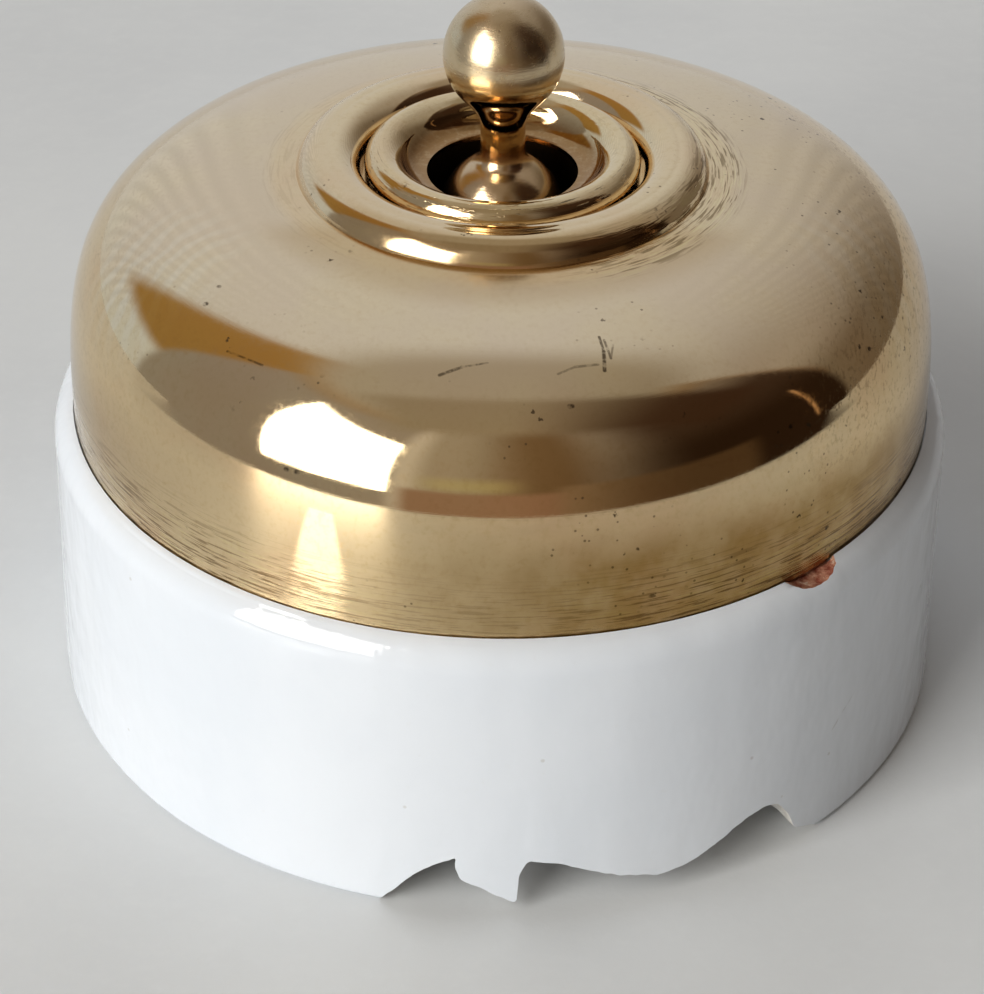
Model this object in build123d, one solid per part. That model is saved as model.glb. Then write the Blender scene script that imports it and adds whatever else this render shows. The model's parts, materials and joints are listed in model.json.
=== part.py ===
"""Surface tumbler switch: round porcelain base, spun brass dome cover, ball-ended brass dolly.

Millimetres. +Z points away from the wall, the origin is the centre of the base's bottom face.
The cable entries face -Y, and the dolly rocks in the YZ plane on a pin parallel to X.
"""

import math
import os

from build123d import *

# ---- Driving dimensions of the base ----
foot_radius = 32.8
shoulder_radius = 32.0
shoulder_start_z = 19.5
shoulder_round = 2.2
skirt_inner_radius = 28.2
well_radius = 28.6
deck_bottom_z = 5.5
deck_top_z = 11.5
ledge_z = 21.1
rebate_radius = 30.55
fixing_spacing = 38.1
fixing_hole_radius = 2.2
fixing_boss_radius = 5.2
fixing_boss_height = 1.5
fixing_head_radius = 4.2
fixing_sink_depth = 2.0
cable_hole_radius = 3.0
cable_hole_x = 14.5
cable_hole_y = -19.5

# ---- Driving dimensions of the cover ----
cover_rim_radius = 30.45
cover_rim_z = 21.6
cover_sheet = 0.8
dome_top_radius = 14.1
dome_top_z = 38.75
dome_rim_handle = 12.0
dome_top_handle = 15.0
dome_top_slope = 0.08
bead_crest_radius = 12.0
bead_crest_z = 40.25
recess_radius = 9.7
flange_top_z = 37.2
flange_sheet = 0.6
flange_hole_radius = 7.2
liner_sheet = 0.4
liner_gap = 0.12

# ---- Driving dimensions of the ring nut and the bush ----
ring_radius = 9.41
ring_crest_radius = 8.3
ring_crest_z = 40.35
ring_lip_radius = 6.9
ring_lip_z = 39.5
ring_hole_radius = 5.17
ring_hole_z = 38.4
ring_web_z = 38.1
thread_radius = 6.95
thread_depth = 0.35
thread_pitch = 0.6
thread_clearance = 0.05
bush_bore_radius = 5.4
bush_spigot_radius = 6.6
bush_collar_radius = 8.6

# ---- Driving dimensions of the mechanism ----
throw_dolly = 20.0
throw_rocker = 35.0
dolly_pivot_z = 34.4
rocker_pivot_z = 20.2
knob_radius = 4.06
knob_centre_z = 46.95
neck_radius = 1.53
neck_top_z = 41.6
neck_bottom_z = 40.5
root_radius = 4.3
root_centre_z = 35.25
tail_radius = 2.9
tail_end_z = 27.8
tail_bore_radius = 1.9
dolly_pin_radius = 0.9
rocker_pin_radius = 1.0
running_gap = 0.05
tip_radius = 1.3
plunger_back_z = 29.4
plunger_neck_z = 27.0
frame_sheet = 1.2
frame_top_z = 30.5
cheek_inner_x = 10.0
cheek_half_width = 4.5
foot_end_x = 17.5
frame_screw_x = 14.2
blade_x = 7.0
blade_thickness = 1.0
blade_half_width = 1.7
blade_reach = 8.0
blade_rest_tilt = 40.0
lug_reach = 3.3
strip_sheet = 0.8
rivet_x = 3.5
rivet_radius = 0.8
rivet_depth = 1.7
contact_sheet = 0.6
terminal_x = 14.5
terminal_y = -11.5
terminal_width = 6.2
terminal_length = 8.0
terminal_height = 8.5
tunnel_radius = 1.6
tunnel_height = 4.7
clamp_screw_radius = 1.3
fixing_screw_radius = 1.4
fixing_thread_length = 2.6

# ---- Values worked out from the driving dimensions ----
bush_collar_top_z = flange_top_z - flange_sheet - liner_sheet
frame_plate_bottom_z = frame_top_z - frame_sheet
cheek_outer_x = cheek_inner_x + frame_sheet
foot_top_z = deck_top_z + frame_sheet
contact_foot_top_z = deck_top_z + strip_sheet
tail_bore_top_z = dolly_pivot_z - dolly_pin_radius - 0.7
pivot_distance = dolly_pivot_z - rocker_pivot_z
throw_slope = math.tan(math.radians(throw_dolly))
rocker_sine = math.sin(math.radians(throw_rocker))
rocker_cosine = math.cos(math.radians(throw_rocker))
# The plunger's ball centre sits at this radius on the rocker when both reach their limit together.
saddle_radius = throw_slope * pivot_distance / (rocker_sine + throw_slope * rocker_cosine)
tip_centre_z = rocker_pivot_z + saddle_radius


def at(radius, height):
    """A point of a turned profile."""
    return (radius, 0, height)


def turned(edges):
    """Turn a closed profile of edges about the Z axis."""
    return revolve(Face(Wire(edges)), Axis.Z, 360)


def turned_polygon(points):
    """Turn a straight-sided profile about the Z axis."""
    corners = [at(radius, height) for radius, height in points]
    return revolve(Face(Wire.make_polygon(corners)), Axis.Z, 360)


def chain(points):
    """Straight edges through profile points, left open."""
    corners = [at(radius, height) for radius, height in points]
    return [Line(a, b) for a, b in zip(corners, corners[1:])]


def block(x_range, y_range, z_range):
    """A box given by its low and high limits."""
    sizes = [high - low for low, high in (x_range, y_range, z_range)]
    middles = [(high + low) / 2 for low, high in (x_range, y_range, z_range)]
    return Pos(*middles) * Box(*sizes)


def post(x, y, z_range, radius):
    """An upright cylinder between two heights."""
    height = z_range[1] - z_range[0]
    return Pos(x, y, z_range[0] + height / 2) * Cylinder(radius, height)


def rod(x_range, y, z, radius):
    """A cylinder along X between two limits."""
    length = x_range[1] - x_range[0]
    return Pos(x_range[0] + length / 2, y, z) * Rot(Y=90) * Cylinder(radius, length)


def both_sides(shape):
    """The shape and its mirror image across the YZ plane."""
    return [shape, mirror(shape, Plane.YZ)]


def slotted_screw(head_radius, head_height, shank_radius, shank_length):
    """Cheese-head screw standing on its shank: the head's seat is at z = 0."""
    slot_width = 0.35 * head_radius
    slot_depth = 0.45 * head_height
    head = Pos(0, 0, head_height / 2) * Cylinder(head_radius, head_height)
    head = chamfer(head.edges().sort_by(Axis.Z)[-1], 0.25)
    slot = Pos(0, 0, head_height - slot_depth / 2) * Box(3 * head_radius, slot_width, slot_depth)
    shank = Pos(0, 0, -shank_length / 2) * Cylinder(shank_radius, shank_length)
    shank = chamfer(shank.edges().sort_by(Axis.Z)[0], 0.3)
    return head - slot + shank


# ---- Porcelain base ----

def broken_edge_cutter():
    """The outline of the two broken-out cable entries with the tab left between them."""
    # Angle from -Y towards +X in degrees, height in mm.
    outline = [
        (-14.5, 0.0), (-11.5, 1.6), (-9.5, 2.9), (-7.0, 3.9), (-4.5, 4.6), (-4.7, 3.9),
        (-4.0, 2.7), (-1.9, 2.2), (0.3, 1.4), (2.6, 0.8), (2.9, 3.3), (3.9, 4.4),
        (8.0, 4.0), (12.0, 3.0), (15.0, 2.4), (20.0, 1.75), (24.0, 2.2), (28.0, 3.3),
        (31.5, 4.3), (34.5, 4.65), (36.5, 4.2), (38.0, 3.0), (39.2, 1.4), (42.0, 0.7), (45.0, 0.0),
    ]
    below = -1.0
    corners = [(foot_radius * math.sin(math.radians(a)), 0, z) for a, z in outline]
    corners.append((corners[-1][0], 0, below))
    corners.append((corners[0][0], 0, below))
    inner_y = -18.0
    depth = 20.0
    face = Pos(0, inner_y, 0) * Face(Wire.make_polygon(corners))
    return extrude(face, depth, dir=(0, -1, 0))


def knockout_recess():
    """Space behind the cable entries, where the skirt is thin enough to break out."""
    first_angle = -16.0
    last_angle = 46.0
    membrane_inner_radius = 30.2
    recess_top_z = 5.0
    profile = [
        at(skirt_inner_radius - 1, -1), at(membrane_inner_radius, -1),
        at(membrane_inner_radius, recess_top_z), at(skirt_inner_radius - 1, recess_top_z),
    ]
    wedge = revolve(Face(Wire.make_polygon(profile)), Axis.Z, last_angle - first_angle)
    return Rot(Z=first_angle - 90) * wedge


def edge_chip():
    """A long shallow chip in the rim beside the cover."""
    chip_angle = 42.0
    ball_radius = 4.1
    ball_distance = 30.9
    ball_z = 24.95
    direction = math.radians(chip_angle - 90)
    centre = (ball_distance * math.cos(direction), ball_distance * math.sin(direction), ball_z)
    return Pos(*centre) * Sphere(ball_radius)


def make_porcelain_base():
    """Hollow round base with a well for the mechanism and a rebate for the cover."""
    shoulder_inner = shoulder_radius - shoulder_round
    rebate_angle = math.acos((rebate_radius - shoulder_inner) / shoulder_round)
    rebate_top_z = shoulder_start_z + shoulder_round * math.sin(rebate_angle)
    middle = at(
        shoulder_inner + shoulder_round * math.cos(rebate_angle / 2),
        shoulder_start_z + shoulder_round * math.sin(rebate_angle / 2))
    foot_edge = 0.5
    profile = chain([
        (rebate_radius, rebate_top_z), (rebate_radius, ledge_z), (well_radius, ledge_z),
        (well_radius, deck_top_z), (0, deck_top_z), (0, deck_bottom_z),
        (skirt_inner_radius, deck_bottom_z), (skirt_inner_radius, 0),
        (foot_radius - foot_edge, 0), (foot_radius, foot_edge),
        (shoulder_radius, shoulder_start_z),
    ])
    profile.append(ThreePointArc(
        at(shoulder_radius, shoulder_start_z), middle, at(rebate_radius, rebate_top_z)))
    base = turned(profile)
    boss_top_z = deck_top_z + fixing_boss_height
    through = (deck_bottom_z - 1, boss_top_z + 1)
    for y in (-fixing_spacing / 2, fixing_spacing / 2):
        base += post(0, y, (deck_top_z - 0.5, boss_top_z), fixing_boss_radius)
        base -= post(0, y, through, fixing_hole_radius)
        sink = Cone(fixing_hole_radius, fixing_head_radius, fixing_sink_depth)
        base -= Pos(0, y, boss_top_z - fixing_sink_depth / 2) * sink
    nut_recess_side = 5.6
    nut_recess_top_z = 8.0
    frame_hole_radius = 1.7
    head_recess_radius = 3.0
    head_recess_top_z = 8.6
    terminal_hole_radius = 1.6
    half = nut_recess_side / 2
    for side in (-1, 1):
        x = side * frame_screw_x
        base -= post(x, 0, through, frame_hole_radius)
        base -= block((x - half, x + half), (-half, half), (deck_bottom_z - 1, nut_recess_top_z))
        x = side * terminal_x
        base -= post(x, terminal_y, through, terminal_hole_radius)
        base -= post(x, terminal_y, (deck_bottom_z - 1, head_recess_top_z), head_recess_radius)
        base -= post(side * cable_hole_x, cable_hole_y, through, cable_hole_radius)
    base -= knockout_recess()
    base -= broken_edge_cutter()
    base -= edge_chip()
    return base


# ---- Cover, liner and ring nut ----

def dome_curve(inset):
    """The dome's profile from the rim up to the bead, moved inwards by inset."""
    width = cover_rim_radius - dome_top_radius
    height = dome_top_z - cover_rim_z
    rim_handle = dome_rim_handle * (1 - inset / height)
    top_handle = dome_top_handle * (1 - inset / width)
    start = (cover_rim_radius - inset, cover_rim_z)
    end = (dome_top_radius, dome_top_z - inset)
    lean_r = top_handle * math.cos(dome_top_slope)
    lean_z = top_handle * math.sin(dome_top_slope)
    return Bezier(
        at(*start), at(start[0], start[1] + rim_handle),
        at(end[0] + lean_r, end[1] - lean_z), at(*end))


def make_brass_cover():
    """Spun dome with a rolled bead round its crown and a recessed seat for the ring nut."""
    inner_rim = cover_rim_radius - cover_sheet
    seat_bottom_z = flange_top_z - flange_sheet
    recess_outer = recess_radius + cover_sheet
    outer_crest = at(bead_crest_radius, bead_crest_z)
    inner_crest = at(bead_crest_radius, bead_crest_z - cover_sheet)
    bead_inner_z = 38.8
    edges = [
        Line(at(inner_rim, ledge_z), at(cover_rim_radius, ledge_z)),
        Line(at(cover_rim_radius, ledge_z), at(cover_rim_radius, cover_rim_z)),
        dome_curve(0),
        ThreePointArc(at(dome_top_radius, dome_top_z), at(13.4, 39.85), outer_crest),
        ThreePointArc(outer_crest, at(10.4, 39.85), at(recess_radius, bead_inner_z)),
    ]
    edges += chain([
        (recess_radius, bead_inner_z), (recess_radius, flange_top_z),
        (flange_hole_radius, flange_top_z), (flange_hole_radius, seat_bottom_z),
        (recess_outer, seat_bottom_z), (recess_outer, bead_inner_z - 0.4),
    ])
    edges += [
        ThreePointArc(at(recess_outer, bead_inner_z - 0.4), at(11.1, 39.15), inner_crest),
        ThreePointArc(inner_crest, at(12.9, 39.1), at(13.5, 38.3)),
        Line(at(13.5, 38.3), at(dome_top_radius, dome_top_z - cover_sheet)),
        dome_curve(cover_sheet),
        Line(at(inner_rim, cover_rim_z), at(inner_rim, ledge_z)),
    ]
    return turned(edges)


def make_cover_liner():
    """Thin fibre lining that insulates the inside of the dome and is clamped under its seat."""
    outer_inset = cover_sheet + liner_gap
    inner_inset = outer_inset + liner_sheet
    hub_top_z = flange_top_z - flange_sheet
    hub_bottom_z = hub_top_z - liner_sheet
    hub_end = 10.6
    outer_top = (dome_top_radius, dome_top_z - outer_inset)
    inner_top = (dome_top_radius, dome_top_z - inner_inset)
    edges = [dome_curve(outer_inset)]
    edges += chain([
        outer_top, (hub_end, hub_top_z), (flange_hole_radius, hub_top_z),
        (flange_hole_radius, hub_bottom_z), (hub_end + 0.1, hub_bottom_z), inner_top,
    ])
    edges.append(dome_curve(inner_inset))
    edges.append(Line(
        at(cover_rim_radius - inner_inset, cover_rim_z),
        at(cover_rim_radius - outer_inset, cover_rim_z)))
    return turned(edges)


def make_cover_ring():
    """Ring nut: rounded crest, dished bowl and a short internal thread."""
    crest = at(ring_crest_radius, ring_crest_z)
    lip = at(ring_lip_radius, ring_lip_z)
    wall_top = at(ring_radius, 39.0)
    bore = thread_radius + thread_clearance
    groove_start = flange_top_z + 0.15
    groove_end = groove_start + thread_pitch
    groove_middle = (groove_start + groove_end) / 2
    edges = [
        Line(at(ring_radius, flange_top_z), wall_top),
        ThreePointArc(wall_top, at(9.08, 39.95), crest),
        ThreePointArc(crest, at(7.65, 40.15), lip),
        ThreePointArc(lip, at(6.3, 38.75), at(ring_hole_radius, ring_hole_z)),
    ]
    edges += chain([
        (ring_hole_radius, ring_hole_z), (ring_hole_radius, ring_web_z), (bore, ring_web_z),
        (bore, groove_end), (bore + thread_depth, groove_middle), (bore, groove_start),
        (bore, flange_top_z), (ring_radius, flange_top_z),
    ])
    return turned(edges)


# ---- Bush, frame and pins ----

def make_threaded_bush():
    """Bush riveted into the frame: spigot, thick collar and a short threaded neck."""
    neck_top = ring_web_z - 0.1
    points = [
        (bush_bore_radius, frame_plate_bottom_z), (bush_spigot_radius, frame_plate_bottom_z),
        (bush_spigot_radius, frame_top_z), (bush_collar_radius, frame_top_z),
        (bush_collar_radius, bush_collar_top_z), (thread_radius, bush_collar_top_z),
    ]
    grooves = int((neck_top - bush_collar_top_z) / thread_pitch)
    for turn in range(grooves):
        low = bush_collar_top_z + turn * thread_pitch
        points.append((thread_radius, low + 0.1))
        points.append((thread_radius - thread_depth, low + thread_pitch / 2))
        points.append((thread_radius, low + thread_pitch - 0.1))
    points += [(thread_radius - 0.2, neck_top), (bush_bore_radius, neck_top)]
    bush = turned_polygon(points)
    return bush - rod((-10, 10), 0, dolly_pivot_z, dolly_pin_radius)


def make_bridge_frame():
    """Bent brass staple that stands on the deck and carries the bush and both pins."""
    plate = block(
        (-cheek_outer_x, cheek_outer_x), (-cheek_half_width, cheek_half_width),
        (frame_plate_bottom_z, frame_top_z))
    cheek = block(
        (cheek_inner_x, cheek_outer_x), (-cheek_half_width, cheek_half_width),
        (deck_top_z, frame_top_z))
    foot = block(
        (cheek_inner_x, foot_end_x), (-cheek_half_width, cheek_half_width),
        (deck_top_z, foot_top_z))
    frame = plate
    for piece in both_sides(cheek) + both_sides(foot):
        frame += piece
    bends = [
        edge for edge in frame.edges().filter_by(Axis.Y)
        if abs(abs(edge.center().X) - cheek_outer_x) < 0.01
        and abs(edge.center().Z - frame_top_z) < 0.01
    ]
    frame = fillet(bends, 1.0)
    seat_radius = 9.2
    frame += post(0, 0, (frame_plate_bottom_z, frame_top_z), seat_radius)
    frame -= post(0, 0, (frame_plate_bottom_z - 1, frame_top_z + 1), bush_spigot_radius)
    frame -= rod((-15, 15), 0, rocker_pivot_z, rocker_pin_radius)
    for side in (-1, 1):
        frame -= post(side * frame_screw_x, 0, (deck_top_z - 1, foot_top_z + 1), 1.6)
    return frame


def make_frame_screws():
    """Two cheese-head screws through the frame's feet."""
    shank_end_z = 5.7
    screw = slotted_screw(2.7, 1.9, 1.5, foot_top_z - shank_end_z)
    return both_sides(Pos(frame_screw_x, 0, foot_top_z) * screw)


def make_frame_nuts():
    """Two square nuts in the recesses under the deck."""
    side = 5.2
    bottom_z = 5.8
    top_z = 8.0
    half = side / 2
    x = frame_screw_x
    nut = block((x - half, x + half), (-half, half), (bottom_z, top_z))
    nut = chamfer(nut.edges().filter_by(Axis.Z), 0.3)
    return both_sides(nut - post(x, 0, (bottom_z - 1, top_z + 1), 1.5))


def make_dolly_pin():
    """Plain pin pressed through the bush's collar."""
    half_length = bush_collar_radius - 0.1
    return rod((-half_length, half_length), 0, dolly_pivot_z, dolly_pin_radius)


def make_rocker_pin():
    """Pin riveted over at both cheeks."""
    head_radius = 1.6
    head_height = 0.6
    end = cheek_outer_x + head_height
    pin = rod((-end, end), 0, rocker_pivot_z, rocker_pin_radius)
    for head in both_sides(rod((cheek_outer_x, end), 0, rocker_pivot_z, head_radius)):
        pin += head
    tips = [edge for edge in pin.edges() if abs(abs(edge.center().X) - end) < 0.01]
    return fillet(tips, 0.3)


# ---- Dolly, spring and plunger ----

def make_dolly():
    """Ball knob, slim neck flaring into a round root, and a hollow tail that guides the plunger."""
    below_equator = math.radians(30)
    waist_r = knob_radius * math.cos(below_equator)
    waist_z = knob_centre_z - knob_radius * math.sin(below_equator)
    waist_handle = 1.3
    bend_r = waist_r - waist_handle * math.sin(below_equator)
    bend_z = waist_z - waist_handle * math.cos(below_equator)
    neck_handle = 1.5
    shoulder_angle = math.radians(60)
    shoulder_r = root_radius * math.cos(shoulder_angle)
    shoulder_z = root_centre_z + root_radius * math.sin(shoulder_angle)
    flare_handle = 0.7
    flare_r = shoulder_r - flare_handle * math.sin(shoulder_angle)
    flare_z = shoulder_z + flare_handle * math.cos(shoulder_angle)
    tail_start_z = root_centre_z - math.sqrt(root_radius ** 2 - tail_radius ** 2)
    edges = [
        ThreePointArc(
            at(0, knob_centre_z + knob_radius), at(knob_radius, knob_centre_z),
            at(waist_r, waist_z)),
        Bezier(
            at(waist_r, waist_z), at(bend_r, bend_z), at(neck_radius, neck_top_z + neck_handle),
            at(neck_radius, neck_top_z)),
        Line(at(neck_radius, neck_top_z), at(neck_radius, neck_bottom_z)),
        Bezier(
            at(neck_radius, neck_bottom_z), at(neck_radius, neck_bottom_z - flare_handle),
            at(flare_r, flare_z), at(shoulder_r, shoulder_z)),
        ThreePointArc(
            at(shoulder_r, shoulder_z), at(root_radius, root_centre_z),
            at(tail_radius, tail_start_z)),
    ]
    edges += chain([
        (tail_radius, tail_start_z), (tail_radius, tail_end_z),
        (tail_bore_radius, tail_end_z), (tail_bore_radius, tail_bore_top_z),
        (0, tail_bore_top_z), (0, knob_centre_z + knob_radius),
    ])
    dolly = turned(edges)
    return dolly - rod((-6, 6), 0, dolly_pivot_z, dolly_pin_radius + running_gap)


def make_dolly_spring():
    """Compression spring between the tail's blind end and the plunger."""
    wire_radius = 0.22
    coil_radius = 1.5
    turns = 4
    low = plunger_back_z + wire_radius
    height = tail_bore_top_z - plunger_back_z - 2 * wire_radius
    path = Helix(pitch=height / turns, height=height, radius=coil_radius)
    path = Pos(0, 0, low) * path
    start = path @ 0
    section = Plane(origin=start, z_dir=path % 0) * Circle(wire_radius)
    return sweep(section, path=path, is_frenet=True)


def make_plunger():
    """Round-nosed plunger that slides in the tail and presses on the rocker."""
    body_radius = tail_bore_radius - running_gap
    tip_bottom_z = tip_centre_z - tip_radius
    diagonal = tip_radius * math.sqrt(0.5)
    edges = chain([
        (tip_radius, tip_centre_z), (tip_radius, plunger_neck_z),
        (body_radius, plunger_neck_z + 0.4), (body_radius, plunger_back_z),
        (0, plunger_back_z), (0, tip_bottom_z),
    ])
    edges.append(ThreePointArc(
        at(0, tip_bottom_z), at(diagonal, tip_centre_z - diagonal), at(tip_radius, tip_centre_z)))
    return turned(edges)


# ---- Rocker and moving contact ----

def on_rocker(shape):
    """Place a shape, drawn pointing straight down from the pin, at the blades' rest angle."""
    return Pos(0, 0, rocker_pivot_z) * Rot(X=-blade_rest_tilt) * shape


def make_rocker():
    """Insulating rocker: barrel on the pin, saddle for the plunger, lug for the contact bridge."""
    barrel_radius = 3.2
    barrel_end = cheek_inner_x - 0.15
    saddle_half_x = 4.0
    saddle_half_y = 2.9
    saddle_top = saddle_radius - 0.55
    groove_radius = 2.4
    groove_gap = 0.05
    groove_centre = saddle_radius - tip_radius - groove_gap + groove_radius
    lug_half_x = 9.0
    lug_half_y = 2.2
    rocker = rod((-barrel_end, barrel_end), 0, rocker_pivot_z, barrel_radius)
    rocker += block(
        (-saddle_half_x, saddle_half_x), (-saddle_half_y, saddle_half_y),
        (rocker_pivot_z, rocker_pivot_z + saddle_top))
    rocker += on_rocker(block(
        (-lug_half_x, lug_half_x), (-lug_half_y, lug_half_y), (-lug_reach, 0)))
    rocker -= rod((-6, 6), 0, rocker_pivot_z + groove_centre, groove_radius)
    rocker -= rod((-15, 15), 0, rocker_pivot_z, rocker_pin_radius + running_gap)
    for hole in both_sides(post(rivet_x, 0, (-lug_reach - 1, -rivet_depth), rivet_radius)):
        rocker -= on_rocker(hole)
    return rocker


def make_contact_bridge():
    """Copper strip on the lug with a knife blade bent out at each end."""
    inner_x = blade_x - blade_thickness / 2
    outer_x = blade_x + blade_thickness / 2
    width = (-blade_half_width, blade_half_width)
    strip_low = -lug_reach - strip_sheet
    bridge = block((-outer_x, outer_x), width, (strip_low, -lug_reach))
    blade = block((inner_x, outer_x), width, (-blade_reach, -lug_reach))
    tips = [
        edge for edge in blade.edges().filter_by(Axis.X)
        if abs(edge.center().Z + blade_reach) < 0.01
    ]
    blade = fillet(tips, 1.1)
    for piece in both_sides(blade):
        bridge += piece
    for hole in both_sides(post(rivet_x, 0, (-lug_reach - 2, 0), rivet_radius)):
        bridge -= hole
    return on_rocker(bridge)


def make_bridge_rivets():
    """Two round-head rivets that hold the bridge on the rocker's lug."""
    seat = -lug_reach - strip_sheet
    head_radius = 1.4
    head_height = 0.6
    shank = post(rivet_x, 0, (seat, -rivet_depth), rivet_radius)
    head = post(rivet_x, 0, (seat - head_height, seat), head_radius)
    head = fillet(head.edges().sort_by(Axis.Z)[0], 0.4)
    return [on_rocker(rivet) for rivet in both_sides(shank + head)]


# ---- Fixed contacts and terminals ----

def make_fixed_contact(side):
    """Jaw that takes one knife blade, with a foot that runs under its terminal block."""
    gap = blade_thickness / 2 + running_gap
    inner_low = blade_x - gap - contact_sheet
    outer_high = blade_x + gap + contact_sheet
    jaw_front_y = -9.4
    jaw_rear_y = -4.9
    jaw_low_z = 15.8
    jaw_high_z = 20.6
    back_y = jaw_front_y - contact_sheet
    foot_y = -14.0
    foot_end = terminal_x + terminal_width / 2
    contact = block((inner_low, outer_high), (back_y, jaw_front_y), (deck_top_z, jaw_high_z))
    contact += block(
        (inner_low, blade_x - gap), (jaw_front_y, jaw_rear_y), (jaw_low_z, jaw_high_z))
    contact += block(
        (blade_x + gap, outer_high), (jaw_front_y, jaw_rear_y), (jaw_low_z, jaw_high_z))
    contact += block(
        (inner_low, foot_end), (foot_y, jaw_front_y), (deck_top_z, contact_foot_top_z))
    contact -= post(terminal_x, terminal_y, (deck_top_z - 1, contact_foot_top_z + 1), 1.6)
    lead_in = [
        edge for edge in contact.edges().filter_by(Axis.X)
        if abs(edge.center().Y - jaw_rear_y) < 0.01
    ]
    contact = fillet(lead_in, 1.2)
    return contact if side > 0 else mirror(contact, Plane.YZ)


def make_terminal(side):
    """Brass terminal block with a wire tunnel along Y and a tapped hole for its clamp screw."""
    half_x = terminal_width / 2
    half_y = terminal_length / 2
    top_z = contact_foot_top_z + terminal_height
    tunnel_z = contact_foot_top_z + tunnel_height
    terminal = block(
        (terminal_x - half_x, terminal_x + half_x), (terminal_y - half_y, terminal_y + half_y),
        (contact_foot_top_z, top_z))
    terminal = chamfer(terminal.edges().filter_by(Axis.Z), 0.6)
    tunnel = Pos(terminal_x, terminal_y, tunnel_z) * Rot(X=90) * Cylinder(tunnel_radius, 20)
    terminal -= tunnel
    terminal -= post(terminal_x, terminal_y, (tunnel_z, top_z + 1), clamp_screw_radius)
    fixing = (contact_foot_top_z - 1, contact_foot_top_z + fixing_thread_length)
    terminal -= post(terminal_x, terminal_y, fixing, fixing_screw_radius)
    return terminal if side > 0 else mirror(terminal, Plane.YZ)


def make_terminal_screws():
    """Two clamp screws, backed off until their tips just clear the wire tunnels."""
    seat_z = contact_foot_top_z + terminal_height + 1.0
    tip_z = contact_foot_top_z + tunnel_height + tunnel_radius + 0.1
    screw = slotted_screw(2.3, 1.8, clamp_screw_radius, seat_z - tip_z)
    return both_sides(Pos(terminal_x, terminal_y, seat_z) * screw)


def make_terminal_fixing_screws():
    """Two screws from under the deck that hold the terminals down."""
    seat_z = 8.6
    tip_z = contact_foot_top_z + fixing_thread_length - 0.2
    screw = slotted_screw(2.6, 1.8, fixing_screw_radius, tip_z - seat_z)
    return both_sides(Pos(terminal_x, terminal_y, seat_z) * Rot(X=180) * screw)


def make_sealing_plugs():
    """Pitch discs poured over the screw heads under the deck."""
    plug = post(terminal_x, terminal_y, (deck_bottom_z, 6.8), 3.0)
    plug = fillet(plug.edges().sort_by(Axis.Z)[0], 0.4)
    return both_sides(plug)


def save(name, made):
    """Write one sub-part, which may be several separate solids."""
    pieces = made if isinstance(made, list) else [made]
    solids = [solid for piece in pieces for solid in piece.solids()]
    whole = solids[0] if len(solids) == 1 else Compound(children=solids)
    whole.label = name
    export_step(whole, os.path.join("parts", name + ".step"))


def main():
    os.makedirs("parts", exist_ok=True)
    save("porcelain_base", make_porcelain_base())
    save("brass_cover", make_brass_cover())
    save("cover_liner", make_cover_liner())
    save("cover_ring", make_cover_ring())
    save("threaded_bush", make_threaded_bush())
    save("bridge_frame", make_bridge_frame())
    save("frame_screws", make_frame_screws())
    save("frame_nuts", make_frame_nuts())
    save("dolly_pin", make_dolly_pin())
    save("rocker_pin", make_rocker_pin())
    save("dolly", make_dolly())
    save("dolly_spring", make_dolly_spring())
    save("plunger", make_plunger())
    save("rocker", make_rocker())
    save("contact_bridge", make_contact_bridge())
    save("bridge_rivets", make_bridge_rivets())
    save("line_contact", make_fixed_contact(-1))
    save("load_contact", make_fixed_contact(1))
    save("line_terminal", make_terminal(-1))
    save("load_terminal", make_terminal(1))
    save("terminal_screws", make_terminal_screws())
    save("terminal_fixing_screws", make_terminal_fixing_screws())
    save("sealing_plugs", make_sealing_plugs())


main()
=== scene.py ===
"""Looks of the surface tumbler switch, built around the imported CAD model.

Every length below is in metres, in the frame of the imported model: +Z out of the wall,
-Y towards the broken cable entries. Profiles are lists of (radius, height) points.
"""

import json
from math import acos, asin, atan2, cos, degrees, hypot, pi, radians, sin, sqrt

import bmesh
import bpy
from mathutils import Euler, Matrix, Vector, noise


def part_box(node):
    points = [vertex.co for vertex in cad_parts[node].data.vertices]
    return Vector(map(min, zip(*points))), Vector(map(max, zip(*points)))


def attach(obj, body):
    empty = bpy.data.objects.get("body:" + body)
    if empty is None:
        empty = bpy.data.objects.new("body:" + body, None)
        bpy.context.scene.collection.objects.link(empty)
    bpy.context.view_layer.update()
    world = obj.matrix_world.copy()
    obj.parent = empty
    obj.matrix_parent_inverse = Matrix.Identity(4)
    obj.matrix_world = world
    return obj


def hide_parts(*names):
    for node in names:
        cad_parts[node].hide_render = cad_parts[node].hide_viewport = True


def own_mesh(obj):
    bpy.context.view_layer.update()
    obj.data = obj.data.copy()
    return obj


MM = 0.001
TURN = 2 * pi

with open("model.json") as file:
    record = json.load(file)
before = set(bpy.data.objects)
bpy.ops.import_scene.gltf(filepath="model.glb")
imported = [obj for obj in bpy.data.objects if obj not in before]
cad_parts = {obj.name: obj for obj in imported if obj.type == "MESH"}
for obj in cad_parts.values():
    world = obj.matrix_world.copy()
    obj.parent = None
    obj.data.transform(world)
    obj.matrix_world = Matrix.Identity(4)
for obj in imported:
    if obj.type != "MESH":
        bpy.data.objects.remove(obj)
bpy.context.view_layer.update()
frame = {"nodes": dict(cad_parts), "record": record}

cover_low, cover_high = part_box("brass_cover")
ring_low, ring_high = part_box("cover_ring")
dolly_low, dolly_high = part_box("dolly")
base_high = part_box("porcelain_base")[1]
pin_low, pin_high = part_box("dolly_pin")


# ---- profile helpers

def straight(start, end, steps):
    """Points from start to end, without the end."""
    return [
        (start[0] + (end[0] - start[0]) * i / steps, start[1] + (end[1] - start[1]) * i / steps)
        for i in range(steps)
    ]


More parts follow.
